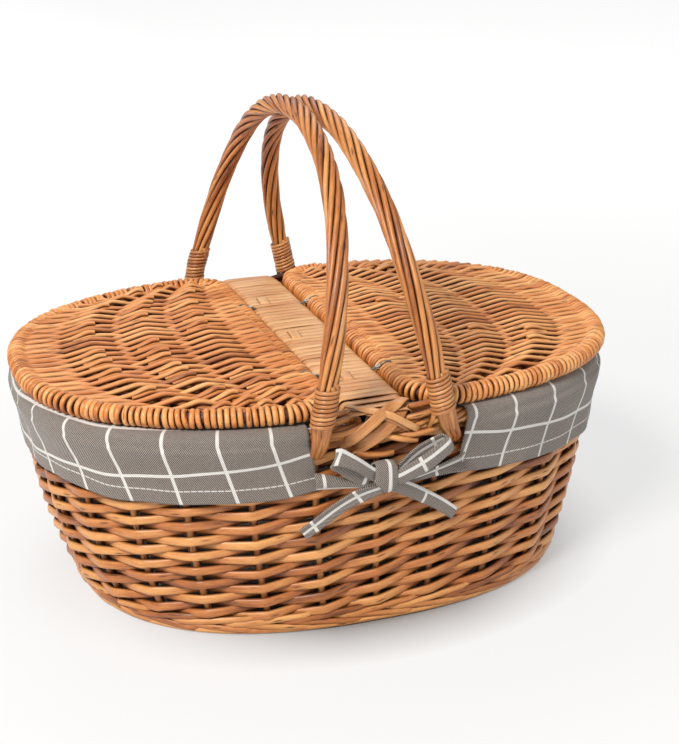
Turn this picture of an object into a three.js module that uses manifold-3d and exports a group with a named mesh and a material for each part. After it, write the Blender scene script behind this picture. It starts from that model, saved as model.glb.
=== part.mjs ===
// Oval willow picnic basket with two hinged lids, two swing handles and a tied cloth liner.
// Millimetres, +Z up. The long axis lies along X, the front faces -Y, and the origin is on the
// floor under the middle of the base.
import * as THREE from "three";
import { mergeVertices } from "three/addons/utils/BufferGeometryUtils.js";
import Module from "manifold-3d";

// Clearances
const gap = 0.3; // between pieces that touch
const runningGap = 0.6; // between a turning peg or rod and what holds it
const legClearance = 0.8; // between a handle leg and the rim

// Body of the basket
const baseHalfLength = 171;
const baseThickness = 7;
const rimHalfLength = 197;
const rimHalfWidth = 150.5;
const sideFlare = 1.5; // how far the rim stands out past the base at the front and back
const rimTop = 141;
const rimRodRadius = 5;
const rimSides = 8;
const ovalPower = 2.5; // 2 is an ellipse, more is squarer
const wallBulge = 0.33; // how far the wall swells between base and rim
const wallThickness = 11;
const weaveRelief = 1.2; // how far a rod stands out where it passes a stake
const stakeCount = 26;
const rowHeight = 5.3;
const upsettHeight = 14;
const upsettBead = 1.6; // depth of the grooves between its rows
const baseRipple = 0.8;

// Cloth
const clothThickness = 1.2;
const linerClearance = 2.5;
const cuffDepth = 45.7;
const cuffDroop = 5; // extra depth at the ends of the basket
const cuffWave = 0.7;
const cuffWaves = 7;
const tieWidth = 11;
const tieThickness = 1;
const strapRise = 3; // from the cuff to the knot
const bowReach = 30; // from the knot to the end of a loop
const bowRise = 20;
const bowOpening = 5; // height of a loop's mouth at the knot
const bowTip = 2; // radius of the fold at the end of a loop
const tailReach = 50;
const tailDrop = 31;
const tailArch = 3; // how far a tail bows upward between its ends
const knotHalfWidth = 9;
const knotHalfHeight = 12;
const knotHalfDepth = 6;

// Lids
const lidEndOverhang = 4.5; // from the rim rod to the lid's, at the ends of the basket
const lidSideInset = 4; // from the rim rod to the lid's, at the front and back
const lidRodRadius = 6.4;
const lidThickness = 5.2;
const lidCrown = 4;
const lidStickShares = [0, 0.235, 0.47, 0.705, 1]; // from the hinge to the outline
const lidRowPitch = 5;
const lidRelief = 3.4; // how far a rod rises over a stick and drops under the next
const lidCorner = 26;
const lidStep = 21; // spacing of the sections along the frame

// Bridge between the lids
const bridgeHalfWidth = 21.3;
const bridgeRodRadius = 4;
const bridgeRodCount = 4;
const bandThickness = 1.3;
const bandTurn = 20; // width of one turn of the flat splint
const bandGroove = 0.7;
const bandEdge = 2.5; // rounding of the band's long edges
const splintWidth = 9;
const splintThickness = 1.3;
const splintStand = 14; // half distance between the two splints where they leave the band
const splintDrop = 18.7; // from the top of the rim to where the splints go into the wall
const splintHold = 10; // length of a splint under the band's last turn
const hingeTieInset = 60; // from the middle of the basket to each hinge tie
const twineRadius = 0.9;

// Handles
const ropeRadius = 6.9;
const ropeRods = 6;
const ropeTurns = 3.5;
const ropeGroove = 0.16; // depth of the grooves as a share of the radius
const archPower = 2.07;
const handleTop = 308.3; // middle of the rope at the crown
const springAboveRim = 8.8; // where the legs start to arch over
const footHalfSpacing = 43.2;
const crownGap = 3; // between the two hoops where they lean together
const pivotBelowRim = 21;
const pegRadius = 3.5;
const legEndRadius = 5.4;
const legStep = 9.5; // spacing of the sections below the arch

// Cane bindings on the handle legs
const caneHalfHeight = 1.2;
const caneHalfThickness = 0.9;
const canePitch = 2.95;
const caneTurns = 8;
const caneStepsPerTurn = 10;
const bindingAboveRim = 6.8;
const bindingRadius = 7.9;

// Sizes that follow from the ones above
const baseHalfWidth = rimHalfWidth - sideFlare;
const rimZ = rimTop - rimRodRadius;
const wallTop = rimZ - rimRodRadius - gap;
const lidHalfLength = rimHalfLength + lidEndOverhang;
const lidHalfWidth = rimHalfWidth - lidSideInset;
const lidZ = rimTop + gap + clothThickness + gap + lidRodRadius;
const hingeX = bridgeHalfWidth + gap + lidRodRadius;
const bridgeZ = rimTop + gap + bridgeRodRadius;
const handleHalfSpan = rimHalfWidth + rimRodRadius + legClearance + bindingRadius;
const springZ = rimTop + springAboveRim;
const pivotZ = rimTop - pivotBelowRim;
const bindingFrom = rimTop + bindingAboveRim;
const bindingTo = bindingFrom + canePitch * caneTurns;
const crownX = ropeRadius + crownGap / 2;
const caneInside = (bindingRadius - 2 * caneHalfThickness) * Math.cos(Math.PI / caneStepsPerTurn);
const bundleRadius = caneInside - gap;
const bandTop = bridgeZ + bridgeRodRadius + gap + bandThickness;
const bandBottom = bridgeZ - bridgeRodRadius - gap - bandThickness;

// Materials
const willow = new THREE.MeshStandardMaterial({ color: 0xc07f43, roughness: 0.45, metalness: 0 });
const lidWillow = new THREE.MeshStandardMaterial({ color: 0xb8743c, roughness: 0.45, metalness: 0 });
const splint = new THREE.MeshStandardMaterial({ color: 0xdcab70, roughness: 0.4, metalness: 0 });
const cane = new THREE.MeshStandardMaterial({ color: 0xd49a5c, roughness: 0.4, metalness: 0 });
const cloth = new THREE.MeshStandardMaterial({ color: 0x7a756e, roughness: 0.9, metalness: 0 });
const twine = new THREE.MeshStandardMaterial({ color: 0xb9b4a8, roughness: 0.8, metalness: 0 });

const wasm = await Module();
wasm.setup();

const up = new THREE.Vector3(0, 0, 1);
const front = -1;
const back = 1;
const sideName = new Map([[front, "front"], [back, "back"]]);

// Shared helpers

function solidFrom(points, faces) {
  const geometry = new THREE.BufferGeometry();
  geometry.setAttribute(
    "position",
    new THREE.Float32BufferAttribute(points.flatMap((p) => [p.x, p.y, p.z]), 3),
  );
  let volume = 0;
  for (const [a, b, c] of faces) {
    volume += points[a].dot(new THREE.Vector3().crossVectors(points[b], points[c]));
  }
  const outward = volume > 0 ? faces : faces.map(([a, b, c]) => [a, c, b]);
  geometry.setIndex(outward.flat());
  geometry.computeVertexNormals();
  return geometry;
}

// Skins a row of equal loops. A wrapped row closes on itself, any other is capped at both ends:
// with a fan, or between the two faces where each loop is a thin bent sheet.
function loft(loops, wrapped = false, thinSheet = false) {
  const sides = loops[0].length;
  const points = loops.flat();
  const faces = [];
  const spans = wrapped ? loops.length : loops.length - 1;
  for (let i = 0; i < spans; i++) {
    const here = i * sides;
    const next = ((i + 1) % loops.length) * sides;
    for (let k = 0; k < sides; k++) {
      const m = (k + 1) % sides;
      faces.push([here + k, here + m, next + m], [here + k, next + m, next + k]);
    }
  }
  if (!wrapped) {
    for (const [loop, flip] of [[0, true], [loops.length - 1, false]]) {
      if (thinSheet) {
        for (let k = 0; k < sides / 2 - 1; k++) {
          const corners = [k, k + 1, sides - 2 - k, sides - 1 - k].map((n) => loop * sides + n);
          if (flip) corners.reverse();
          const [a, b, c, d] = corners;
          faces.push([a, b, c], [a, c, d]);
        }
        continue;
      }
      const centre = points.length;
      const middle = new THREE.Vector3();
      loops[loop].forEach((p) => middle.addScaledVector(p, 1 / sides));
      points.push(middle);
      for (let k = 0; k < sides; k++) {
        const a = loop * sides + k;
        const b = loop * sides + ((k + 1) % sides);
        faces.push(flip ? [centre, b, a] : [centre, a, b]);
      }
    }
  }
  return solidFrom(points, faces);
}

function toManifold(geometry) {
  const bare = new THREE.BufferGeometry();
  bare.setAttribute("position", geometry.getAttribute("position"));
  bare.setIndex(geometry.getIndex());
  const merged = mergeVertices(bare, 1e-4);
  return new wasm.Manifold(
    new wasm.Mesh({
      numProp: 3,
      vertProperties: new Float32Array(merged.getAttribute("position").array),
      triVerts: new Uint32Array(merged.getIndex().array),
    }),
  );
}

function fromManifold(solid) {
  const mesh = solid.getMesh();
  const geometry = new THREE.BufferGeometry();
  geometry.setAttribute("position", new THREE.BufferAttribute(mesh.vertProperties, 3));
  geometry.setIndex(new THREE.BufferAttribute(mesh.triVerts, 1));
  geometry.computeVertexNormals();
  return geometry;
}

function boxAt(low, high) {
  const size = new THREE.Vector3().subVectors(high, low);
  const middle = new THREE.Vector3().addVectors(low, high).multiplyScalar(0.5);
  return new THREE.BoxGeometry(size.x, size.y, size.z).translate(middle.x, middle.y, middle.z);
}

function pegAlongY(x, z, fromY, toY, radius) {
  return new THREE.CylinderGeometry(radius, radius, Math.abs(toY - fromY), 12).translate(
    0, (fromY + toY) / 2, 0,
  ).translate(x, 0, z);
}

// A tube or strip: section(i, u) gives flat points, laid across the path at each step.
function sweep(path, normals, section, wrapped = false) {
  const loops = path.map((point, i) => {
    const before = path[wrapped ? (i + path.length - 1) % path.length : Math.max(i - 1, 0)];
    const after = path[wrapped ? (i + 1) % path.length : Math.min(i + 1, path.length - 1)];
    const along = new THREE.Vector3().subVectors(after, before).normalize();
    const across = new THREE.Vector3().crossVectors(along, normals[i]).normalize();
    const out = new THREE.Vector3().crossVectors(across, along).normalize();
    return section(i, i / (path.length - 1)).map(([a, b]) =>
      point.clone().addScaledVector(across, a).addScaledVector(out, b),
    );
  });
  return loft(loops, wrapped);
}

function roundSection(radius, sides, turn = 0) {
  return Array.from({ length: sides }, (_, k) => {
    const angle = turn + (k / sides) * 2 * Math.PI;
    return [radius * Math.cos(angle), radius * Math.sin(angle)];
  });
}

function stripSection(width, thickness) {
  return [
    [-width / 2, -thickness / 2],
    [width / 2, -thickness / 2],
    [width / 2, thickness / 2],
    [-width / 2, thickness / 2],
  ];
}

function smoothPath(points, steps) {
  return new THREE.CatmullRomCurve3(points, false, "centripetal").getPoints(steps);
}

// The oval of the basket

function ovalPoint(halfLength, halfWidth, angle) {
  const c = Math.cos(angle);
  const s = Math.sin(angle);
  return [
    Math.sign(c) * halfLength * Math.abs(c) ** (2 / ovalPower),
    Math.sign(s) * halfWidth * Math.abs(s) ** (2 / ovalPower),
  ];
}

function ovalHalfWidthAt(halfLength, halfWidth, x) {
  return halfWidth * (1 - Math.abs(x / halfLength) ** ovalPower) ** (1 / ovalPower);
}

function ovalHalfLengthAt(halfLength, halfWidth, y) {
  return ovalHalfWidthAt(halfWidth, halfLength, y);
}

// Angles that cut an oval of the rim's proportions into equal lengths.
function evenAngles(count) {
  const fine = 2880;
  const lengths = [0];
  let previous = ovalPoint(rimHalfLength, rimHalfWidth, 0);
  for (let i = 1; i <= fine; i++) {
    const point = ovalPoint(rimHalfLength, rimHalfWidth, (i / fine) * 2 * Math.PI);
    lengths.push(lengths[i - 1] + Math.hypot(point[0] - previous[0], point[1] - previous[1]));
    previous = point;
  }
  const angles = [];
  let at = 0;
  for (let k = 0; k < count; k++) {
    const wanted = (k / count) * lengths[fine];
    while (lengths[at + 1] < wanted) at += 1;
    const share = (wanted - lengths[at]) / (lengths[at + 1] - lengths[at]);
    angles.push(((at + share) / fine) * 2 * Math.PI);
  }
  return angles;
}

// Half length and half width of the wall's outer face at a height.
function wallOval(z) {
  const k = THREE.MathUtils.clamp(z / wallTop, 0, 1);
  const share = k + wallBulge * 4 * k * (1 - k);
  return [
    baseHalfLength + (rimHalfLength - baseHalfLength) * share,
    baseHalfWidth + (rimHalfWidth - baseHalfWidth) * share,
  ];
}

function wallLoop(angles, z, offset) {
  const [halfLength, halfWidth] = wallOval(z);
  return angles.map((angle, k) => {
    const out = typeof offset === "function" ? offset(k) : offset;
    const [x, y] = ovalPoint(halfLength + out, halfWidth + out, angle);
    return new THREE.Vector3(x, y, z);
  });
}

// Base, wall and rim

const columnsPerStake = 2;
const wallAngles = evenAngles(stakeCount * columnsPerStake);

function wovenWall(fromZ, toZ) {
  const rows = Math.max(2, Math.round((toZ - fromZ) / rowHeight));
  const loops = [];
  for (let row = 0; row <= rows; row++) {
    const z = fromZ + ((toZ - fromZ) * row) / rows;
    const phase = row % 2 ? Math.PI : 0;
    const relief = (k) =>
      weaveRelief * (Math.cos((Math.PI * k) / columnsPerStake + phase) - 1) / 2;
    loops.push(wallLoop(wallAngles, z, relief));
  }
  for (const z of [toZ, (fromZ + toZ) / 2, fromZ]) {
    loops.push(wallLoop(wallAngles, z, -wallThickness));
  }
  return loft(loops, true);
}

function sideWeave() {
  let wall = toManifold(wovenWall(upsettHeight + gap, wallTop));
  for (const side of [front, back]) {
    for (const x of [-footHalfSpacing, footHalfSpacing]) {
      const outside = side * (rimHalfWidth + wallThickness);
      const inside = side * (rimHalfWidth - 3 * wallThickness);
      wall = wall.subtract(
        toManifold(pegAlongY(x, pivotZ, outside, inside, pegRadius + runningGap)),
      );
    }
  }
  return fromManifold(wall);
}

// The lowest rods, twisted round each other and standing on the floor.
function upsettBand() {
  const outer = [
    [0, -upsettBead],
    [upsettHeight * 0.25, 0],
    [upsettHeight * 0.5, -upsettBead],
    [upsettHeight * 0.75, 0],
    [upsettHeight, -upsettBead],
  ];
  const inner = [
    [upsettHeight, -wallThickness],
    [0, -wallThickness],
  ];
  const loops = [...outer, ...inner].map(([z, offset]) => wallLoop(wallAngles, z, offset));
  return loft(loops, true);
}

function baseWeave() {
  const inset = wallThickness + gap;
  const rings = 3;
  const loops = [];
  const shrunk = (share, z) => {
    const [halfLength, halfWidth] = wallOval(0);
    return wallAngles.map((angle) => {
      const [x, y] = ovalPoint(share * (halfLength - inset), share * (halfWidth - inset), angle);
      return new THREE.Vector3(x, y, z);
    });
  };
  loops.push(shrunk(1, 0));
  loops.push(shrunk(1, baseThickness - 2 * baseRipple));
  for (let ring = 0; ring < rings; ring++) {
    loops.push(shrunk(0.97 - ring * 0.32, baseThickness - (ring % 2 ? baseRipple : 0)));
  }
  return loft(loops);
}

function rimBorder() {
  const angles = evenAngles(wallAngles.length);
  const path = angles.map((angle) => {
    const [x, y] = ovalPoint(rimHalfLength, rimHalfWidth, angle);
    return new THREE.Vector3(x, y, rimZ);
  });
  return sweep(path, path.map(() => up), () => roundSection(rimRodRadius, rimSides), true);
}

// Cloth liner and cuffs

function linerBag() {
  const face = -wallThickness - linerClearance;
  const floor = baseThickness + gap;
  const top = bandBottom - gap;
  const rimFace = -Math.sqrt(rimRodRadius ** 2 - (top - rimZ) ** 2) - 2 * gap;
  const heights = [floor, (floor + wallTop) / 2, wallTop, top];
  const outset = (z) => (z === top ? rimFace : face);
  const outer = heights.map((z) => wallLoop(wallAngles, z, outset(z)));
  const inner = [...heights].reverse().map((z) =>
    wallLoop(wallAngles, z === floor ? z + clothThickness : z, outset(z) - clothThickness),
  );
  return loft([...outer, ...inner]);
}

// Turned-down cuff on one end: over the rim rod and down the outside, from leg to leg.
function cuff(end) {
  const legSide = footHalfSpacing + legEndRadius + 2 * gap;
  const rimPoints = wallAngles.map((angle) => ovalPoint(1, 1, angle));
  const first = rimPoints.findIndex(([x]) => x * rimHalfLength < legSide);
  const share = (legSide / rimHalfLength - rimPoints[first][0]) /
    (rimPoints[first - 1][0] - rimPoints[first][0]);
  const edge = [0, 1].map((k) =>
    THREE.MathUtils.lerp(rimPoints[first][k], rimPoints[first - 1][k], share),
  );
  const quarter = rimPoints.slice(1, first);
  const stations = [
    edge,
    ...[...quarter].reverse(),
    rimPoints[0],
    ...quarter.map(([x, y]) => [x, -y]),
    [edge[0], -edge[1]],
  ];
  const rodCover = rimRodRadius + gap;
  const bends = [3, 2, 1, 0].map((k) => (k * 2 * Math.PI) / rimSides);
  const loops = stations.map(([unitX, unitY], i) => {
    const tip = Math.sin((Math.PI * i) / (stations.length - 1));
    const low = rimTop - cuffDepth - cuffDroop * tip ** 2;
    const wave = cuffWave * (1 - Math.cos((2 * Math.PI * cuffWaves * i) / (stations.length - 1)));
    const profile = bends.map((bend) => [
      rimHalfLength + rodCover * Math.cos(bend),
      rimHalfWidth + rodCover * Math.cos(bend),
      rimZ + rodCover * Math.sin(bend),
      bend,
    ]);
    for (const drop of [0.3, 0.65, 1]) {
      const z = THREE.MathUtils.lerp(rimZ - rimRodRadius, low, drop);
      const stand = 2 * gap + wave * drop;
      const [halfLength, halfWidth] = wallOval(z);
      profile.push([halfLength + stand, halfWidth + stand, z, 0]);
    }
    const face = (thickness) => profile.map(([halfLength, halfWidth, z, bend]) => {
      const out = thickness * Math.cos(bend);
      const lift = thickness * Math.sin(bend);
      return new THREE.Vector3(
        end * unitX * (halfLength + out),
        unitY * (halfWidth + out),
        z + lift,
      );
    });
    return [...face(0), ...face(clothThickness).reverse()];
  });
  return loft(loops, false, true);
}

// Ties and bows

const tieZ = rimTop - cuffDepth + tieWidth / 2 + tieThickness;
const tieFace = wallOval(tieZ)[1] + gap + tieThickness / 2;
const knotCentreY = tieFace + tieThickness / 2 + gap + knotHalfDepth;

function tieStrap(end, side) {
  const fromX = footHalfSpacing + legEndRadius - gap;
  const toX = knotHalfWidth * 0.12; // the two straps nearly meet behind the knot
  const steps = 6;
  const path = [];
  for (let i = 0; i <= steps; i++) {
    const x = fromX + ((toX - fromX) * i) / steps;
    const y = ovalHalfWidthAt(wallOval(tieZ)[0], tieFace, x);
    path.push(new THREE.Vector3(end * x, side * y, tieZ + (i / steps) * strapRise));
  }
  const outward = new THREE.Vector3(0, side, 0);
  return sweep(path, path.map(() => outward), () => stripSection(tieWidth, tieThickness));
}

function bowKnot(side) {
  return new THREE.SphereGeometry(1, 12, 8)
    .scale(knotHalfWidth, knotHalfDepth, knotHalfHeight)
    .translate(0, side * knotCentreY, tieZ + 2);
}

function bowLoop(end, side) {
  const rootX = knotHalfWidth + tieWidth * 0.2;
  const y = (out) => side * (knotCentreY + out);
  const points = [
    [rootX, 0.6 * knotHalfDepth, tieZ + bowOpening],
    [rootX + (bowReach - rootX) * 0.5, knotHalfDepth, tieZ + bowOpening + bowRise * 0.55],
    [bowReach - bowTip, 0.8 * knotHalfDepth, tieZ + bowOpening + bowRise - bowTip / 2],
    [bowReach, 0.25 * knotHalfDepth, tieZ + bowRise + bowTip],
    [bowReach - 1.5 * bowTip, -knotHalfDepth / 3, tieZ + bowRise - bowTip / 2],
    [rootX + (bowReach - rootX) * 0.45, -knotHalfDepth / 3, tieZ + bowRise * 0.45 - bowTip / 2],
    [rootX, -0.25 * knotHalfDepth, tieZ + bowTip / 2],
  ].map(([x, out, z]) => new THREE.Vector3(end * x, y(out), z));
  const steps = 18;
  const path = smoothPath(points, steps);
  const slope = new THREE.Vector3(-end * bowRise, 0, bowReach).normalize();
  const normals = path.map((point, i) => {
    const before = path[Math.max(i - 1, 0)];
    const after = path[Math.min(i + 1, steps)];
    const along = new THREE.Vector3().subVectors(after, before).normalize();
    return new THREE.Vector3().crossVectors(slope, along).normalize();
  });
  return sweep(path, normals, () => stripSection(tieWidth * 0.85, tieThickness));
}

function bowTail(end, side) {
  const steps = 8;
  const points = [0, 0.35, 0.7, 1].map((share) => {
    const x = knotHalfWidth + (tailReach - knotHalfWidth) * share;
    const z = tieZ - knotHalfHeight / 2 - gap - tailDrop * share + tailArch * Math.sin(Math.PI * share);
    const [halfLength, halfWidth] = wallOval(z);
    const lie = ovalHalfWidthAt(halfLength, halfWidth, x) + gap + tieThickness;
    const stand = (1 - share) * knotHalfDepth + tieThickness;
    return new THREE.Vector3(end * x, side * (lie + stand), z);
  });
  const path = smoothPath(points, steps);
  const outward = new THREE.Vector3(0, side, 0);
  return sweep(path, path.map(() => outward), () => stripSection(tieWidth, tieThickness));
}

// Bridge between the lids

const bridgeHalfLength = rimHalfWidth + rimRodRadius * 0.6;
const bandHalfLength = rimHalfWidth - rimRodRadius - bridgeRodRadius;

function bridgeRodX(index) {
  const spacing = (2 * (bridgeHalfWidth - bandThickness - gap - bridgeRodRadius)) / (bridgeRodCount - 1);
  return (index - (bridgeRodCount - 1) / 2) * spacing;
}

function bridgeRod(index) {
  const line = new THREE.LineCurve3(
    new THREE.Vector3(bridgeRodX(index), -bridgeHalfLength, bridgeZ),
    new THREE.Vector3(bridgeRodX(index), bridgeHalfLength, bridgeZ),
  );
  const circle = new THREE.Shape();
  circle.absarc(0, 0, bridgeRodRadius, 0, 2 * Math.PI);
  return new THREE.ExtrudeGeometry(circle, { steps: 1, curveSegments: 5, extrudePath: line });
}

// Flat splint wound round the rods, turn by turn, with a crown on top and slots for the hinge ties.
function bridgeBand() {
  const section = (halfWidth, halfHeight) => [
    [-halfWidth, -halfHeight * 0.6],
    [-halfWidth + bandEdge, -halfHeight],
    [halfWidth - bandEdge, -halfHeight],
    [halfWidth, -halfHeight * 0.6],
    [halfWidth, halfHeight * 0.6],
    [halfWidth - bandEdge, halfHeight],
    [0, halfHeight + gap],
    [-halfWidth + bandEdge, halfHeight],
    [-halfWidth, halfHeight * 0.6],
  ];
  const innerHeight = bridgeRodRadius + gap;
  const place = (y, points) => points.map(([x, z]) => new THREE.Vector3(x, y, bridgeZ + z));
  const turns = Math.round((2 * bandHalfLength) / bandTurn);
  const loops = [];
  for (let i = 0; i <= 2 * turns; i++) {
    const y = -bandHalfLength + (i / (2 * turns)) * 2 * bandHalfLength;
    const inset = i % 2 ? 0 : bandGroove;
    loops.push(place(y, section(bridgeHalfWidth, innerHeight + bandThickness - inset)));
  }
  const inside = section(bridgeHalfWidth - bandThickness, innerHeight);
  loops.push(place(bandHalfLength, inside), place(-bandHalfLength, inside));
  let band = toManifold(loft(loops, true));
  const slotHalf = twineRadius + runningGap;
  const rodX = bridgeRodX(bridgeRodCount - 1);
  for (const end of [-1, 1]) {
    for (const y of [-hingeTieInset, hingeTieInset]) {
      const near = end * (rodX - bridgeRodRadius - 3 * twineRadius);
      const far = end * (bridgeHalfWidth + 1);
      band = band.subtract(
        toManifold(
          boxAt(
            new THREE.Vector3(Math.min(near, far), y - slotHalf, bridgeZ - 2 * innerHeight),
            new THREE.Vector3(Math.max(near, far), y + slotHalf, bridgeZ + 2 * innerHeight),
          ),
        ),
      );
    }
  }
  return fromManifold(band);
}

// Two flat splints at each end of the bridge cross over the rim and go down into the wall.
// Both follow one profile, and the right one lies on top.
function bridgeSplint(end, side) {
  const half = splintThickness / 2 + gap;
  const over = end > 0 ? splintThickness + gap : 0;
  const rimY = rimHalfWidth + rimRodRadius + half;
  const endZ = rimTop - splintDrop;
  const profile = [
    [splintStand, bandHalfLength - splintHold, bandTop + half],
    [splintStand * 0.5, bandHalfLength + half, bandTop + half],
    [0, bridgeHalfLength, bandTop + half],
    [-splintStand * 0.35, rimY + half, rimZ + rimRodRadius],
    [-splintStand * 0.7, rimY, rimZ - rimRodRadius],
    [-splintStand, wallOval(endZ)[1] + half + gap, endZ],
  ].map(([x, y, z]) => new THREE.Vector3(x, y, z));
  const steps = 18;
  const path = smoothPath(profile, steps);
  const loops = path.map((point, i) => {
    const before = path[Math.max(i - 1, 0)];
    const after = path[Math.min(i + 1, steps)];
    const out = new THREE.Vector2(before.z - after.z, after.y - before.y).normalize();
    return stripSection(splintWidth, splintThickness).map(([across, lift]) =>
      new THREE.Vector3(
        end * (point.x + across),
        side * (point.y + out.x * (over + lift)),
        point.z + out.y * (over + lift),
      ),
    );
  });
  return loft(loops);
}

// Twine ring that ties a lid's hinge rod to the outer rod of the bridge.
function hingeTie(end, y) {
  const lidReach = lidRodRadius + runningGap + twineRadius;
  const bridgeReach = bridgeRodRadius + gap + twineRadius;
  const rodX = bridgeRodX(bridgeRodCount - 1);
  const path = [];
  const arcSteps = 6;
  const towardsBridge = Math.atan2(bridgeZ - lidZ, rodX - hingeX);
  const half = Math.acos((lidReach - bridgeReach) / Math.hypot(hingeX - rodX, lidZ - bridgeZ));
  const leaves = towardsBridge + half;
  const arrives = towardsBridge - half + 2 * Math.PI;
  const arcs = [
    [hingeX, lidZ, lidReach, leaves, arrives],
    [rodX, bridgeZ, bridgeReach, arrives, leaves + 2 * Math.PI],
  ];
  for (const [x, z, reach, from, to] of arcs) {
    for (let i = 0; i <= arcSteps; i++) {
      const angle = from + ((to - from) * i) / arcSteps;
      path.push(new THREE.Vector3(end * (x + reach * Math.cos(angle)), y, z + reach * Math.sin(angle)));
    }
  }
  const along = new THREE.Vector3(0, 1, 0);
  return sweep(path, path.map(() => along), () => roundSection(twineRadius, 5), true);
}

// Handles

const legPlane = new THREE.Vector2(crownX - footHalfSpacing, handleTop - pivotZ).normalize();

const archSteps = 32;

// Middle of the rope, from the front peg over the crown to the back peg, for the handle on +X.
function handlePath() {
  const points = [];
  const xAt = (z) => footHalfSpacing + ((z - pivotZ) * legPlane.x) / legPlane.y;
  const legs = [pivotZ - pegRadius, pivotZ + legStep, pivotZ + 2 * legStep];
  for (const z of legs) points.push(new THREE.Vector3(xAt(z), -handleHalfSpan, z));
  const bindingShare = (bindingTo + 4 * caneHalfHeight - springZ) / (handleTop - springZ);
  const aboveBinding = Math.asin(bindingShare ** (archPower / 2));
  const angles = [aboveBinding, Math.PI - aboveBinding];
  for (let i = 0; i <= archSteps; i++) angles.push((i / archSteps) * Math.PI);
  angles.sort((a, b) => a - b);
  for (const angle of angles) {
    const c = Math.cos(angle);
    const y = -handleHalfSpan * Math.sign(c) * Math.abs(c) ** (2 / archPower);
    const z = springZ + (handleTop - springZ) * Math.sin(angle) ** (2 / archPower);
    points.push(new THREE.Vector3(xAt(z), y, z));
  }
  for (const z of [...legs].reverse()) points.push(new THREE.Vector3(xAt(z), handleHalfSpan, z));
  return points;
}

// The rope is drawn in under its binding and tapers below it.
function ropeRadiusAt(z) {
  const blend = THREE.MathUtils.smoothstep;
  const aboveBinding = blend(z, bindingTo + 4 * caneHalfHeight, bindingTo + 18);
  const belowBinding = 1 - blend(z, pivotZ, bindingFrom);
  return (
    bundleRadius + (ropeRadius - bundleRadius) * aboveBinding - (bundleRadius - legEndRadius) * belowBinding
  );
}

function handleHoop(end) {
  const path = handlePath().map((p) => new THREE.Vector3(end * p.x, p.y, p.z));
  const normal = new THREE.Vector3(end * legPlane.y, 0, -legPlane.x);
  const section = (i, u) => {
    const radius = ropeRadiusAt(path[i].z);
    const twist = u * ropeTurns * 2 * Math.PI;
    return Array.from({ length: ropeRods * 2 }, (_, k) => {
      const angle = twist + (k / (ropeRods * 2)) * 2 * Math.PI;
      const reach = radius * (k % 2 ? 1 - ropeGroove : 1);
      return [reach * Math.cos(angle), reach * Math.sin(angle)];
    });
  };
  let hoop = toManifold(sweep(path, path.map(() => normal), section));
  for (const side of [front, back]) {
    const inner = side * (wallOval(pivotZ)[1] - wallThickness - linerClearance * 0.5);
    hoop = hoop.add(
      toManifold(pegAlongY(end * footHalfSpacing, pivotZ, side * handleHalfSpan, inner, pegRadius)),
    );
  }
  return fromManifold(hoop);
}

// One strip of cane wound round a leg, with straight tails one cane wide.
function caneBinding(end, side) {
  const leg = handlePath().filter((p) => side * p.y > 0 && p.z < (springZ + handleTop) / 2);
  leg.sort((a, b) => a.z - b.z);
  const centreAt = (z) => {
    const above = leg.findIndex((p) => p.z > z);
    const share = (z - leg[above - 1].z) / (leg[above].z - leg[above - 1].z);
    const centre = new THREE.Vector3().lerpVectors(leg[above - 1], leg[above], share);
    return centre.setX(end * centre.x);
  };
  const upLeg = new THREE.Vector3(end * legPlane.x, 0, legPlane.y);
  const acrossLeg = new THREE.Vector3(0, 1, 0);
  const towardsMiddle = new THREE.Vector3().crossVectors(acrossLeg, upLeg);
  const steps = caneStepsPerTurn * caneTurns;
  const reach = bindingRadius - caneHalfThickness;
  const path = [];
  const normals = [];
  for (let i = 0; i <= steps; i++) {
    const angle = (i / caneStepsPerTurn) * 2 * Math.PI;
    const out = towardsMiddle.clone().multiplyScalar(Math.cos(angle));
    out.addScaledVector(acrossLeg, Math.sin(angle));
    const z = THREE.MathUtils.lerp(bindingFrom, bindingTo, i / steps);
    path.push(centreAt(z).addScaledVector(out, reach));
    normals.push(out);
  }
  const tail = 2 * caneHalfHeight;
  const straight = (from, to) =>
    from.clone().add(new THREE.Vector3().subVectors(from, to).setLength(tail));
  path.unshift(straight(path[0], path[1]));
  normals.unshift(normals[0]);
  path.push(straight(path[path.length - 1], path[path.length - 2]));
  normals.push(normals[normals.length - 1]);
  const section = () => stripSection(2 * caneHalfHeight, 2 * caneHalfThickness);
  let least = Infinity;
  for (let i = caneStepsPerTurn; i < path.length; i++) {
    for (let j = 0; j <= i - caneStepsPerTurn + 3; j++) {
      least = Math.min(least, path[i].distanceTo(path[j]) - 2 * caneHalfHeight);
    }
  }
  console.log(`cane binding: least gap to itself ${least.toFixed(2)} mm`);
  return sweep(path, normals, section);
}

// Lids

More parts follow.
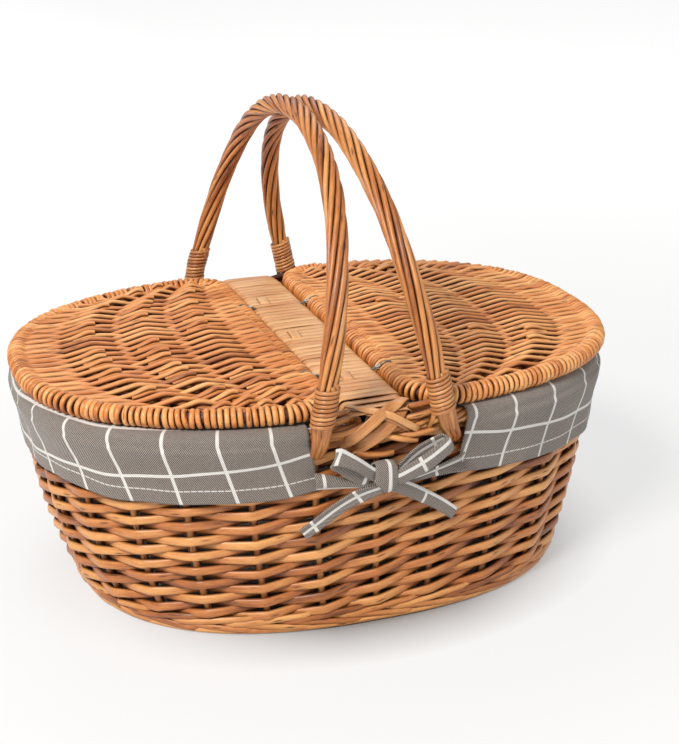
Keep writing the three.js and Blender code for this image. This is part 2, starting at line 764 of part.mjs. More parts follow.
// Rounded D on the +X side: straight along the hinge, round at its corners, oval at the tip.
function lidOutline(inset, spacing) {
  const halfLength = lidHalfLength - inset;
  const halfWidth = lidHalfWidth - inset;
  const straightX = hingeX + inset;
  const radius = lidCorner - inset;
  const ovalAt = (angle) => {
    const [x, y] = ovalPoint(halfLength, halfWidth, angle);
    const nx = (Math.abs(x) / halfLength) ** (ovalPower - 1) / halfLength;
    const ny = (Math.abs(y) / halfWidth) ** (ovalPower - 1) / halfWidth;
    const size = Math.hypot(nx, ny);
    return [x, y, nx / size, ny / size];
  };
  let low = 0.05;
  let high = Math.PI / 2 - 0.001;
  for (let i = 0; i < 50; i++) {
    const middle = (low + high) / 2;
    const [x, , nx] = ovalAt(middle);
    if (x - radius * nx > straightX + radius) low = middle;
    else high = middle;
  }
  const [tangentX, tangentY, nx, ny] = ovalAt(low);
  const centreX = straightX + radius;
  const centreY = tangentY - radius * ny;
  const half = [];
  const arcEnd = Math.atan2(ny, nx);
  const ovalSteps = Math.round(((halfLength + halfWidth) * 0.9) / spacing);
  for (let i = 0; i < ovalSteps; i++) {
    const [x, y] = ovalPoint(halfLength, halfWidth, (low * i) / ovalSteps);
    half.push([x, y]);
  }
  half.push([tangentX, tangentY]);
  const arcSteps = Math.max(4, Math.round((radius * (Math.PI - arcEnd)) / spacing));
  for (let i = 1; i <= arcSteps; i++) {
    const angle = arcEnd + ((Math.PI - arcEnd) * i) / arcSteps;
    half.push([centreX + radius * Math.cos(angle), centreY + radius * Math.sin(angle)]);
  }
  const straightSteps = Math.max(2, Math.round(centreY / spacing));
  for (let i = 1; i < straightSteps; i++) {
    half.push([straightX, centreY * (1 - i / straightSteps)]);
  }
  const mirrored = half.slice(1).reverse().map(([x, y]) => [x, -y]);
  return [...half, [straightX, 0], ...mirrored];
}

function lidFrame(end) {
  const path = lidOutline(0, lidStep).map(([x, y]) => new THREE.Vector3(end * x, y, lidZ));
  return sweep(path, path.map(() => up), () => roundSection(lidRodRadius, 8), true);
}

// Rods woven over and under the sticks, trimmed to the inside of the frame.
function lidPanel(end) {
  const inset = lidRodRadius + gap;
  const outline = lidOutline(inset, lidStep);
  const cutReach = 2 * lidThickness + lidCrown + lidRelief;
  const columns = lidStickShares.length - 1;
  const rows = 2 * Math.ceil((lidHalfWidth - inset) / lidRowPitch);
  const pointAt = (i, j) => {
    const y = (j - rows / 2) * lidRowPitch;
    const reach = Math.max(ovalHalfLengthAt(lidHalfLength, lidHalfWidth, y), hingeX + lidCorner);
    const along = lidStickShares[i];
    const x = hingeX + along * (reach - hingeX);
    const across = y / lidHalfWidth;
    const crown = lidCrown * Math.max(0, 1 - across * across) * (1 - along * along);
    const weave = (i + j) % 2 ? -lidRelief : lidRelief;
    return new THREE.Vector3(end * x, y, lidZ + lidThickness / 2 + crown + weave);
  };
  const points = [];
  for (let j = 0; j <= rows; j++) {
    for (let i = 0; i <= columns; i++) points.push(pointAt(i, j));
  }
  const at = (i, j) => j * (columns + 1) + i;
  const faces = [];
  for (let j = 0; j < rows; j++) {
    for (let i = 0; i < columns; i++) {
      faces.push([at(i, j), at(i + 1, j), at(i + 1, j + 1)], [at(i, j), at(i + 1, j + 1), at(i, j + 1)]);
    }
  }
  const edge = [];
  for (let i = 0; i < columns; i++) edge.push(at(i, 0));
  for (let j = 0; j < rows; j++) edge.push(at(columns, j));
  for (let i = columns; i > 0; i--) edge.push(at(i, rows));
  for (let j = rows; j > 0; j--) edge.push(at(0, j));
  const under = points.length;
  edge.forEach((k) => points.push(points[k].clone().setZ(lidZ - lidThickness / 2)));
  const middle = points.length;
  points.push(new THREE.Vector3(end * (hingeX + lidHalfLength) / 2, 0, lidZ - lidThickness / 2));
  edge.forEach((k, n) => {
    const m = (n + 1) % edge.length;
    faces.push([k, under + m, edge[m]], [k, under + n, under + m], [middle, under + m, under + n]);
  });
  const sheet = toManifold(solidFrom(points, faces));
  const ring = (z) => outline.map(([x, y]) => new THREE.Vector3(end * x, y, z));
  let panel = sheet.intersect(toManifold(loft([ring(lidZ - cutReach), ring(lidZ + cutReach)])));
  const slotHalf = twineRadius + runningGap;
  const slotReach = lidRodRadius + 2 * twineRadius + 2 * runningGap;
  for (const y of [-hingeTieInset, hingeTieInset]) {
    const near = end * hingeX;
    const far = end * (hingeX + slotReach);
    panel = panel.subtract(
      toManifold(
        boxAt(
          new THREE.Vector3(Math.min(near, far), y - slotHalf, lidZ - cutReach),
          new THREE.Vector3(Math.max(near, far), y + slotHalf, lidZ + cutReach),
        ),
      ),
    );
  }
  return fromManifold(panel);
}

// Assembly

const basket = new THREE.Group();

function addPiece(name, geometry, material) {
  const mesh = new THREE.Mesh(geometry, material);
  mesh.name = name;
  basket.add(mesh);
}

addPiece("base_weave", baseWeave(), willow);
addPiece("upsett_band", upsettBand(), willow);
addPiece("side_weave", sideWeave(), willow);
addPiece("rim_border", rimBorder(), willow);
addPiece("liner_bag", linerBag(), cloth);
for (let i = 0; i < bridgeRodCount; i++) {
  addPiece(`bridge_rod_${i + 1}`, bridgeRod(i), willow);
}
addPiece("bridge_band", bridgeBand(), splint);

for (const [end, endName] of [[-1, "left"], [1, "right"]]) {
  addPiece(`cuff_${endName}`, cuff(end), cloth);
  addPiece(`lid_${endName}_frame`, lidFrame(end), lidWillow);
  addPiece(`lid_${endName}_panel`, lidPanel(end), lidWillow);
  addPiece(`handle_${endName}_hoop`, handleHoop(end), willow);
  for (const side of [front, back]) {
    const place = `${sideName.get(side)}_${endName}`;
    addPiece(`handle_${endName}_${sideName.get(side)}_binding`, caneBinding(end, side), cane);
    addPiece(`hinge_tie_${place}`, hingeTie(end, side * hingeTieInset), twine);
    addPiece(`bridge_splint_${place}`, bridgeSplint(end, side), splint);
    addPiece(`tie_strap_${place}`, tieStrap(end, side), cloth);
    addPiece(`bow_loop_${place}`, bowLoop(end, side), cloth);
    addPiece(`bow_tail_${place}`, bowTail(end, side), cloth);
  }
}
for (const side of [front, back]) {
  addPiece(`bow_knot_${sideName.get(side)}`, bowKnot(side), cloth);
}

export default basket;
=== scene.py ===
"""Oval willow picnic basket with two hinged lids, two swing handles and a tied cloth liner.

Shapes are worked out in millimetres and turned into metres where a mesh is made. The long axis
lies along X, the front faces -Y and the floor is at Z 0. A side is -1 at the front and 1 at the
back, and an end is -1 at the left and 1 at the right.
"""
import math

import bpy
import numpy as np
from mathutils import Matrix, Vector


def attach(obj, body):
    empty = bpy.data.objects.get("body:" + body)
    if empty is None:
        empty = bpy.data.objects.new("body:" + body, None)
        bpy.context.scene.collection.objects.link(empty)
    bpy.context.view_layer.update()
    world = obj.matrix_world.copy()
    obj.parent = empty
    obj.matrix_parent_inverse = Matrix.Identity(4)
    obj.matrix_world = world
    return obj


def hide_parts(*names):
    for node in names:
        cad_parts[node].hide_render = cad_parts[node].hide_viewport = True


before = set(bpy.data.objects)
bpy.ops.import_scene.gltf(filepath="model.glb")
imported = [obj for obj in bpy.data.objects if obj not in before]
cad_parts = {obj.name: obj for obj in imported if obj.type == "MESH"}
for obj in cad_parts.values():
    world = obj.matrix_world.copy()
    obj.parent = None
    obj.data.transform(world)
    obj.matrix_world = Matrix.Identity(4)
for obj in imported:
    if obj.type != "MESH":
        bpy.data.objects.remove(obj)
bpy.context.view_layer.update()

MM = 0.001
side_names = {-1: "front", 1: "back"}
end_names = {-1: "left", 1: "right"}
up = np.array([0.0, 0.0, 1.0])
rng = np.random.default_rng(11)

# Body of the basket
base_half_length = 171.0
base_half_width = 149.0
rim_half_length = 197.0
rim_half_width = 150.5
rim_top = 141.0
rim_rod_radius = 5.0
rim_z = rim_top - rim_rod_radius
oval_power = 2.5
wall_bulge = 0.33
wall_top = 130.7

# Wall. Its offsets are measured outwards from its outer face.
wall_middle = -5.7  # where the stakes stand
stake_count = 28
stake_foot = 3.0
stake_radius = 2.4
# Shares of the way round where stakes 0 to 8 stand, as in the photograph, and how far the weave
# is lifted at each. The other stakes are evenly spaced.
stake_places = (0.5758, 0.609, 0.6415, 0.6783, 0.7142, 0.7494, 0.7846, 0.8258, 0.8678)
stake_levels = (3.1, 2.2, 0.6, -2.3, -2.3, -0.3, 1.7, 1.9, -1.2)
level_from, level_to = 12, 25  # the weave lies level between these stakes
row_pitch = 5.2
row_from = 15.3
row_to = 128.0
row_swing = 4.2  # how far a rod moves out and in as it passes the stakes
rod_half_height = 2.8
rod_half_thickness = 1.85
rod_joins = (-1, 7, 15, 23)  # rows where the three rods of a strand start and end
rod_overlap = 0.3  # a rod runs on past its join by this share of a stake's spacing
rod_noise = 0.3
wall_sharp = 0.997  # for wave()
wall_steps = 14  # points of a rod from one stake to the next
lift_starts, lift_stops = (6, 26), (100, 124)  # heights over which the lift comes and goes

# Foot of the wall
upsett_rows = ((9.6, 1), (5.4, -1))  # height, and the way the twining leans
upsett_middle = -5.4
upsett_swing = 3.4
upsett_lift = 2.0
upsett_rod = (1.8, 2.3)  # half thickness, half height
sole_rods = ((2.3, -2.6, 2.1, 0.8), (2.4, -7.5, 2.3, 0.5))  # height, offset, radius, tone

# Base
base_inset = 11.3
base_reach = np.array([base_half_length, base_half_width]) - base_inset
base_z = 3.6
base_spokes = 32
base_rings = 22
outer_ring, ring_step, spoke_share = 0.985, 0.0425, 0.99  # shares of base_reach
ring_swing = 1.5
ring_sharp = 0.8  # for wave()
ring_rod, spoke_rod = (1.5, 2.8), (2.0, 2.4)  # half height, half width

# Border
border_rods = 6
border_twists = 16
border_reach = 3.0
border_radius = 1.9
# Cut ends of rods between the feet: x, z of the one end, x, z of the other, and how far inside
cut_ends = ((-34, 136.5, -12, 141, 0), (12, 130.3, 39, 133.3, 0), (0, 133, 23, 126.4, 0),
            (-16, 122.4, 7, 120.3, 0), (13, 140.5, 42, 145.5, 2.5), (15, 146, 42, 149, 8),
            (17, 142, 44, 142.5, 12), (-42, 142, -18, 145, 6), (-42, 147, -19, 146, 11))
cut_end_y = np.array([153.0, 156.2, 156.6, 154.5])
cut_end_radius = 2.1

# Lids. Each has the half length, half width and power of its oval, the height of its frame, the
# pitch and half width of its rows, and the pitch of the rods wound round its frame.
lid_sizes = {-1: (198.0, 144.3, 2.4, 149.5, 5.0, 2.4, 4.2),
             1: (203.0, 148.0, 2.5, 149.2, 4.15, 2.0, 3.9)}
lid_crown = 4.0
lid_corner = 26.0
lid_swing = 3.9
lid_sharp = 0.992  # for wave()
weave_rise = 0.5  # middle of the weave, above the frame's
edge_swing = 0.5  # where every row levels out beside the frame
hinge_x = 28.0
stick_shares = (0.235, 0.47, 0.705)
stick_rod = (1.8, 2.6)
cut_rows = {-1: 0.65, 1: 0.15}  # share of the rows that have the cut end of a rod at a stick
shortest_row = 30.0
row_inset = 5.5  # rows are woven this far inside the middle of the frame
row_noise, lean_noise = 0.15, 0.4
row_end_turn = (125, -120)  # degrees round the frame
wrap_core = 3.7
# The frame rod is painted this dark as painted shade: it shows only in the gaps between the rods
# wound round it
wrap_core_tone = -0.6
wrap_reach = 4.95  # middle of the wound rod, from the middle of the frame
wrap_half_thickness = 1.5
wrap_shares = (0.4, 0.47)  # half width of a wound rod, as shares of the pitch
long_rod = (1.9, 2.7)
row_wraps_from = 0.6  # rows end in a wrap of their own where the edge turns this far across them
long_wraps_turn, long_wraps_x = 0.62, 60.0  # the right lid's slanting rods start here

# Bridge between the lids
bridge_half_width = 21.3
bridge_z = 145.3
bridge_half_length = 150.0
bridge_rod_radius = 4.0
bridge_rod_x = (-15.7, -5.233, 5.233, 15.7)
strip_pitch = 6.5
strip_half_thickness = 0.45
strip_bow = 2.0  # how far a strip's middle lies ahead of its ends
strip_stand = 0.75  # middle of a strip, from the rods that it is wound round
bridge_crown = 1.1
bridge_bend = 3.2
bridge_bend_from = 126.0
window_y = (78, -4, -94)  # short splints woven over the strips
window_x = -6.5
window_half_length, window_half_width = 10.5, 4.0
window_dive = 3.2
hinge_tie_y = {-1: -88.0, 1: 64.0}
hinge_z = 149.2
hinge_knot_x, hinge_knot_z = 22.0, 152.2
twine_radius = 0.75
# At each end the broad splint and its half width and tone, then the narrow one
splint_paths = {
    1: (((19, 143, 150.6), (12, 150, 150.8), (-2.4, 158.6, 147.4), (-12, 159.6, 140.8),
         (-20.5, 157.6, 134), (-25, 151.5, 129.5)), 3.7, 0.5,
        ((18, 144, 148.4), (12.5, 153, 146), (4.8, 156.8, 139.8), (-3, 157, 134.2),
         (-11.5, 155.6, 129), (-17, 150.5, 124.5)), 4.3, 0.42),
    -1: (((-19.5, 143, 150.8), (-11, 150.5, 150), (3.6, 157.7, 147), (14, 158.3, 140.6),
          (23, 156.4, 134.4), (28, 150.5, 130)), 2.3, 0.6,
         ((-16, 145, 148), (-9, 152, 147.4), (2, 156.4, 144.6), (10, 156.8, 139.8),
          (17, 155.6, 134.9), (21, 150.5, 131)), 1.5, 0.4),
}
back_splint_drop = 7.0
splint_half_thickness = 0.55
splint_turn = (146, 157)  # a splint turns from lying flat to hanging down over these y

# Handles
handle_half_span = 164.2
spring_z = 149.8
arch_power = 2.07
pivot_z = 120.0
foot_half_spacing = 43.2
foot_wall_x = 43.0  # where the wall's half width is taken for the feet
crown_x, crown_z = 8.4, 308.3
hoop_rods = 8
hoop_reach = 4.95
hoop_rod = (1.95, 1.82)
hoop_wobble = 0.22
hoop_twist, crown_twist = 0.022, 0.028  # radians to a millimetre, and what the crown has more
hoop_core = 3.6
# The hoop's core is painted this dark as painted shade: it shows only in the gaps between the
# twisted rods
hoop_core_tone = -0.8
binding_from = 147.8
binding_to = 171.4
binding_radius = 7.9
binding_turns = 9
cane_half_thickness = 0.95
drawn_in, drawn_in_height = 0.14, 18.0  # the hoop is thinner in its binding and just above it
leg_rods = 5
leg_radii = (2.1, 1.7)  # at the binding, at the tip
thin_rod_radius = 1.7
stub_reach = 5.7
stubs = ((16, 2.4), (44, 3.8))  # degrees round the leg and height of the cut rods above a binding
stub_rod = (1.5, 1.8)
handle_tops = {-1: 309.2, 1: 307.3}
foot_x = {-1: -41.5, 1: 50.0}
# How far each leg bends along X from its plane, at these heights
leg_bends = {
    (-1, -1): ((146, -3.8), (185, -3.4), (242, -0.5), (262, 0.9), (302, 2.2), (310, 2.4)),
    (-1, 1): ((158, -1.0), (173, 0.6), (202, 3.0), (233, 4.3), (252, 5.0), (283, 4.4),
              (310, 2.4)),
    (1, -1): ((146, -0.7), (238, -0.4), (250, 0.2), (267, 1.3), (300, 2.2), (310, 1.6)),
    (1, 1): ((155, -1.9), (171, -2.3), (202, -3.9), (234, -4.0), (269, -2.8), (310, 1.6)),
}
leg_plane = np.array([crown_x - foot_half_spacing, crown_z - pivot_z])
leg_plane /= np.linalg.norm(leg_plane)

# Cloth
check = 33.0  # spacing of the white lines
check_line = 2.0
cloth_thickness = 0.9
tie_thickness = 1.4
knot_thickness = 1.2
stitch_height = 9.2
no_stitch = -100.0
cuff_columns, cuff_rows, cuff_bend_rows = 300, 54, 12
cuff_bend = 0.8 * math.pi  # how far a cuff is followed round the rim to its inside
cuff_lift = 6.45
least_stand = 0.75
tie_bulge = {"stretched": 0.34, "folded": 0.1, "hung": 0.1}
liner_top, liner_floor = 139.2, 8.2
liner_inset, liner_edge = -14.3, 8.6
knot_z, knot_y = 108.5, -162.4
knot_half_height, knot_half_depth = 9.7, 5.0
# Each cuff: how far round it reaches from the tip (top, hem), how far it stands off the wall
# (height, stand), where its hem hangs (along, height), where the white lines lie (top, hem), how
# high the lower line lies above the hem (at the tip, at the front edge)
cuffs = {
    -1: dict(edge=(238.7, 246.5),
             stand=((96, 1.0), (108, 1.6), (118, 3.2), (126, 6.0), (132, 7.6), (137, 6.6)),
             hem=((0, 95.5), (28, 96), (64, 97.5), (128, 95.5), (160, 95), (196, 96),
                  (227, 97.5), (247, 100)),
             lines=((-249, -216, -184, -151, -117, -84, -48, -17, 7, 36, 64, 97, 130, 163, 196,
                     229),
                    (-262, -228, -195, -160, -128.5, -95, -61, -27, 7, 41, 75, 108, 141, 175,
                     208, 242)),
             low_line=(10.5, 27.5)),
    1: dict(edge=(228.3, 232.8),
            stand=((91, 3.2), (104, 3.8), (115, 5.2), (125, 7.6), (132, 8.6), (137, 6.8)),
            hem=((0, 91), (60, 91.5), (107, 92.5), (165, 93.5), (201, 95.3), (233, 98.3)),
            lines=((-253, -222, -192, -158, -121, -88, -54, -22, 8, 38, 70, 104, 137, 171, 204,
                    237),
                   (-264, -232, -201, -169, -136, -103, -69, -33, 2, 37, 73, 107, 140, 173,
                    205, 236)),
            low_line=(15.0, 28.5)),
}
# The front ties as seen in the photograph: upper edge and lower edge of each, then the shares
# across it where a white line runs and along it where another crosses
straps = {
    -1: (((-44, -154.4, 113.4), (-39.7, -155.2, 112.7), (-24.9, -157, 108.2), (-12, -160, 105.5),
          (-6, -161, 105)),
         ((-43, -154.4, 103), (-38.4, -155.2, 103), (-23.4, -157, 102.2), (-9, -160, 101.2),
          (-4, -161, 101)), 0.93, 0.13),
    1: (((56, -154.6, 112.8), (51.1, -155.6, 111.4), (36.3, -157, 107), (21.6, -158.4, 103.9),
         (6, -160.5, 105.5)),
        ((57, -154.6, 101), (53.6, -155.6, 100.9), (36.4, -157, 101), (20.8, -158.4, 100.1),
         (5, -160.5, 99.5)), 0.42, 0.40),
}
loops = {
    -1: (((-5, -164.6, 115), (-8.1, -165.8, 116), (-19.2, -167.8, 125.3), (-29.5, -167, 132.4),
          (-32.6, -164.6, 132.2), (-31, -161.6, 130.6), (-27.5, -160.2, 127),
          (-17.5, -159.8, 118.6), (-8, -161, 113.5)),
         ((-8, -164.6, 107.5), (-10.6, -165.8, 108.4), (-21, -167.8, 116.6), (-32.6, -167, 122),
          (-36.2, -164.6, 121), (-35.4, -161.8, 118), (-31, -160.4, 115),
          (-21, -160, 106.8), (-12, -161, 103.8)), 0.08, 0.465),
    1: (((4, -164.6, 112), (7.7, -165.8, 113.3), (22.2, -167.8, 121.2), (35.4, -167.2, 128.9),
         (38.4, -165, 130.6), (37.2, -162.4, 131), (34.1, -161.2, 130), (20.3, -160.6, 123.6),
         (8.9, -161.4, 114.8)),
        ((7, -164.6, 103), (11, -165.8, 104), (27.4, -167.8, 111.7), (41, -167.2, 120.6),
         (43.6, -165, 122.2), (42.6, -162.4, 122.2), (39, -161.2, 120), (25.3, -160.6, 112.6),
         (11.5, -161.4, 105)), 0.34, 0.24),
}
tails = {
    -1: (((-4, -163.2, 104.6), (-7.8, -163.4, 103.8), (-19.6, -160.6, 100.2),
          (-33.3, -157.6, 91.8), (-46.2, -155.2, 82), (-53.9, -153.6, 76.3)),
         ((1, -163.2, 98.6), (-1.8, -163.4, 98.2), (-9.6, -160.6, 94), (-24.3, -157.6, 87),
          (-38.9, -155.2, 76.8), (-49.5, -153.4, 68.8)), 0.45, 0.30),
    1: (((3, -163.2, 108), (7.4, -163.4, 106.6), (18, -160.4, 100.4), (29.8, -157.4, 92.2),
         (40.5, -155.6, 84.4), (51.3, -154.2, 75.4)),
        ((1, -163.2, 99.5), (3.9, -163.4, 98.2), (13.4, -160.4, 92.2), (24.4, -157.4, 85.1),
         (36, -155.6, 77.4), (47.4, -154.2, 68.2)), 0.1, 0.52),
}


def unit(vectors):
    vectors = np.asarray(vectors, float)
    return vectors / np.linalg.norm(vectors, axis=-1, keepdims=True)


def smooth(value, low, high):
    share = np.clip((value - low) / (high - low), 0.0, 1.0)
    return share * share * (3 - 2 * share)


def signed_power(value, power):
    return np.sign(value) * np.abs(value) ** power


def wave(phase, sharp):
    """Goes from 1 at even numbers to -1 at odd ones, straighter in between as sharp nears 1."""
    return np.arcsin(sharp * np.cos(np.pi * phase)) / math.asin(sharp)


def distance(path):
    """How far along a path each of its points lies."""
    steps = np.linalg.norm(np.diff(path[:, :3], axis=0), axis=1)
    return np.concatenate([[0], np.cumsum(steps)])


def heading(path):
    return unit(np.gradient(path, axis=0))


def resample(path, count, closed=False):
    """The same path with its points evenly spaced."""
    path = np.asarray(path, float)
    if closed:
        path = np.vstack([path, path[:1]])
    length = distance(path)
    at = np.linspace(0, length[-1], count, endpoint=not closed)
    return np.stack([np.interp(at, length, column) for column in path.T], 1)


def curve_through(points, count):
    """A smooth path through a few points."""
    points = np.asarray(points, float)
    ends = [2 * points[0] - points[1], *points, 2 * points[-1] - points[-2]]
    out = []
    for a, b, c, d in zip(ends, ends[1:], ends[2:], ends[3:]):
        for t in np.linspace(0, 1, 24, endpoint=False):
            out.append(0.5 * (2 * b + (c - a) * t + (2 * a - 5 * b + 4 * c - d) * t ** 2
                              + (3 * b - 3 * c + d - a) * t ** 3))
    out.append(points[-1])
    return resample(out, count)


def random_tone(low=0.25, high=0.85):
    return rng.uniform(low, high)


def add_attribute(mesh, name, values):
    kind, field = ("FLOAT_VECTOR", "vector") if values.ndim > 1 else ("FLOAT", "value")
    attribute = mesh.attributes.new(name, kind, "POINT")
    attribute.data.foreach_set(field, values.astype(np.float32).ravel())


def piece(name, mesh, slot, body, *nodes):
    """Puts a mesh in the scene, riding on a body in place of CAD nodes."""
    mesh.polygons.foreach_set("use_smooth", np.ones(len(mesh.polygons), bool))
    mesh.materials.append(materials[slot])
    obj = bpy.data.objects.new(name, mesh)
    bpy.context.scene.collection.objects.link(obj)
    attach(obj, body)
    if nodes:
        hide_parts(*nodes)
    return obj


class Bundle:
    """The strands of one piece. Each point also keeps its place along and across its strand."""

    def __init__(self):
        self.kept = [], [], [], []  # the points, and the grain, tone and edge at each
        self.quads, self.tris = [], []
        self.size = 0

    def keep(self, points, grain, tone, edge):
        start = self.size
        self.size += len(points)
        tone, edge = (np.broadcast_to(values, len(points)) for values in (tone, edge))
        for kept, values in zip(self.kept, (points, grain, tone, edge)):
            kept.append(values)
        return start

    def strand(self, path, out, half_out, half_across, tone, sides=8, closed=False, power=2.2):
        """A tube along path. out is the direction in which half_out is measured."""
        path = np.asarray(path, float)
        count = len(path)
        if closed:
            along = unit(np.roll(path, -1, 0) - np.roll(path, 1, 0))
        else:
            along = heading(path)
        across = unit(np.cross(along, np.broadcast_to(out, (count, 3))))
        outward = np.cross(across, along)
        angle = 2 * np.pi * np.arange(sides) / sides
        ring_out = signed_power(np.sin(angle), 2 / power)
        a = np.broadcast_to(half_across, count)[:, None] * signed_power(np.cos(angle), 2 / power)
        b = np.broadcast_to(half_out, count)[:, None] * ring_out
        rings = path[:, None] + across[:, None] * a[..., None] + outward[:, None] * b[..., None]
        length = np.broadcast_to(distance(path)[:, None], a.shape)
        grain = np.stack([length, a, b], -1) + rng.uniform(-300, 300, 3)
        tone = np.broadcast_to(tone, count)
        start = self.keep(rings.reshape(-1, 3), grain.reshape(-1, 3), np.repeat(tone, sides),
                          np.tile(ring_out, count))
        span = np.arange(count if closed else count - 1)[:, None]
        row, after = start + span * sides, start + (span + 1) % count * sides
        k = np.arange(sides)
        m = (k + 1) % sides
        self.quads.append(np.stack([row + k, after + k, after + m, row + m], -1).reshape(-1, 4))
        if closed:
            return
        for end in (0, count - 1):
            ring = np.vstack([rings[end], path[end]])
            ring_grain = np.vstack([grain[end], grain[end].mean(0)])
            first = self.keep(ring, ring_grain, tone[end], 1.0)
            pair = (m, k) if end else (k, m)
            self.tris.append(first + np.stack([np.full(sides, sides), *pair], -1))

    def rod(self, path, out, radius, tone, sides=8, closed=False):
        self.strand(path, out, radius, radius, tone, sides, closed)

    def piece(self, name, slot, body, *nodes):
        points, grain, tone, edge = (np.concatenate(kept) for kept in self.kept)
        quads = np.vstack(self.quads)
        tris = np.vstack(self.tris) if self.tris else np.zeros((0, 3), int)
        mesh = bpy.data.meshes.new(name)
        mesh.vertices.add(len(points))
        mesh.vertices.foreach_set("co", (points * MM).astype(np.float32).ravel())
        mesh.loops.add(quads.size + tris.size)
        loops = np.concatenate([quads.ravel(), tris.ravel()]).astype(np.int32)
        mesh.loops.foreach_set("vertex_index", loops)
        mesh.polygons.add(len(quads) + len(tris))
        starts = np.concatenate([np.arange(len(quads)) * 4, quads.size + np.arange(len(tris)) * 3])
        mesh.polygons.foreach_set("loop_start", starts.astype(np.int32))
        mesh.update(calc_edges=True)
        for attribute, values in (("grain", grain), ("tone", tone), ("edge", edge)):
            add_attribute(mesh, attribute, values)
        piece(name, mesh, slot, body, *nodes)


# Materials

class Graph:
    """A short way to write a material's nodes."""

    def __init__(self, name):
        self.material = bpy.data.materials.new(name)
        self.material.use_nodes = True
        self.tree = self.material.node_tree
        self.shader = self.tree.nodes["Principled BSDF"]

    def feed(self, socket, value):
        if isinstance(value, bpy.types.NodeSocket):
            self.tree.links.new(value, socket)
        else:
            socket.default_value = (*value, 1.0) if socket.type == "RGBA" else value

    def node(self, kind, *values, **settings):
        """A new node with these settings, whose first inputs are fed with these values."""
        node = self.tree.nodes.new("ShaderNode" + kind)
        for name, setting in settings.items():
            setattr(node, name, setting)
        for socket, value in zip(node.inputs, values):
            self.feed(socket, value)
        return node

    def feed_named(self, node, values):
        for name, value in values.items():
            self.feed(node.inputs[name], value)

    def attribute(self, name, output):
        return self.node("Attribute", attribute_name=name).outputs[output]

    def math(self, operation, *values):
        return self.node("Math", *values, operation=operation).outputs[0]

    def scaled(self, vector, scale):
        return self.node("VectorMath", vector, scale, operation="MULTIPLY").outputs[0]

    def length(self, vector):
        return self.node("VectorMath", vector, operation="LENGTH").outputs["Value"]

    def split(self, vector):
        return self.node("SeparateXYZ", vector).outputs

    def noise(self, vector, scale, detail, rough=0.5):
        node = self.node("TexNoise", self.scaled(vector, scale))
        self.feed_named(node, {"Scale": 1.0, "Detail": detail, "Roughness": rough})
        return node.outputs["Fac"]

    def spots(self, vector, scale):
        node = self.node("TexVoronoi", self.scaled(vector, scale))
        self.feed_named(node, {"Scale": 1.0})
        return node.outputs["Distance"]

    def ramp(self, value, *stops):
        node = self.node("ValToRGB", value)
        elements = node.color_ramp.elements
        while len(elements) < len(stops):
            elements.new(0.5)
        for element, (position, colour) in zip(elements, stops):
            element.position = position
            element.color = (*colour, 1.0)
        return node.outputs[0]

    def range(self, value, low, high, to_low=0.0, to_high=1.0):
        return self.node("MapRange", value, low, high, to_low, to_high).outputs[0]

    def mix(self, share, a, b):
        node = self.node("Mix", share, data_type="RGBA")
        self.feed(node.inputs[6], a)
        self.feed(node.inputs[7], b)
        return node.outputs[2]

    def finished(self, surface, height=None, distance=0.0, strength=1.0):
        """The material, with these values on its shader and a bump of this height."""
        if height:
            node = self.node("Bump")
            self.feed_named(node, {"Strength": strength, "Distance": distance * MM,
                                   "Height": height})
            surface = {**surface, "Normal": node.outputs[0]}
        self.feed_named(self.shader, surface)
        return self.material


def wood(name, dark, middle, pale, knots=0.75, roughness=0.42, coat=0.25):
    """Varnished rod: fibres and slow changes of colour along it, small knots, a tone of its own.

    The sides that face the next rod get painted shade, as the crevices between rods would. The
    tone at a point can also carry painted light and shade, set where its strand is made.
    """
    g = Graph(name)
    grain = g.attribute("grain", "Vector")
    slow = g.noise(grain, (0.02, 0.15, 0.15), 3.0)
    fibre = g.noise(grain, (0.05, 1.6, 1.6), 3.0, 0.6)
    mottle = g.noise(grain, (0.16, 0.5, 0.5), 4.0, 0.65)
    value = g.attribute("tone", "Fac")
    for layer, weight in ((slow, 1.0), (fibre, 0.6), (mottle, 0.5)):
        value = g.math("MULTIPLY_ADD", g.math("SUBTRACT", layer, 0.5), weight, value)
    colour = g.ramp(value, (0.0, dark), (0.5, middle), (1.0, pale))
    knot = g.range(g.spots(grain, (0.05, 0.3, 0.3)), 0.09, 0.22, knots, 0.0)
    # crease: painted shade on the sides and back of each rod, away from its outward face, read
    # from the edge attribute
    crease = g.range(g.attribute("edge", "Fac"), -0.15, 0.8, 0.95, 0.0)
    for share, shade in ((knot, 0.3), (crease, 0.55)):
        colour = g.mix(share, colour, tuple(shade * c for c in dark))
    rough = g.range(mottle, 0.3, 0.7, roughness - 0.06, roughness + 0.1)
    return g.finished({"Base Color": colour, "Roughness": rough, "Coat Weight": coat,
                       "Coat Roughness": 0.3},
                      g.math("MULTIPLY_ADD", mottle, 0.7, fibre), 0.35, 0.6)


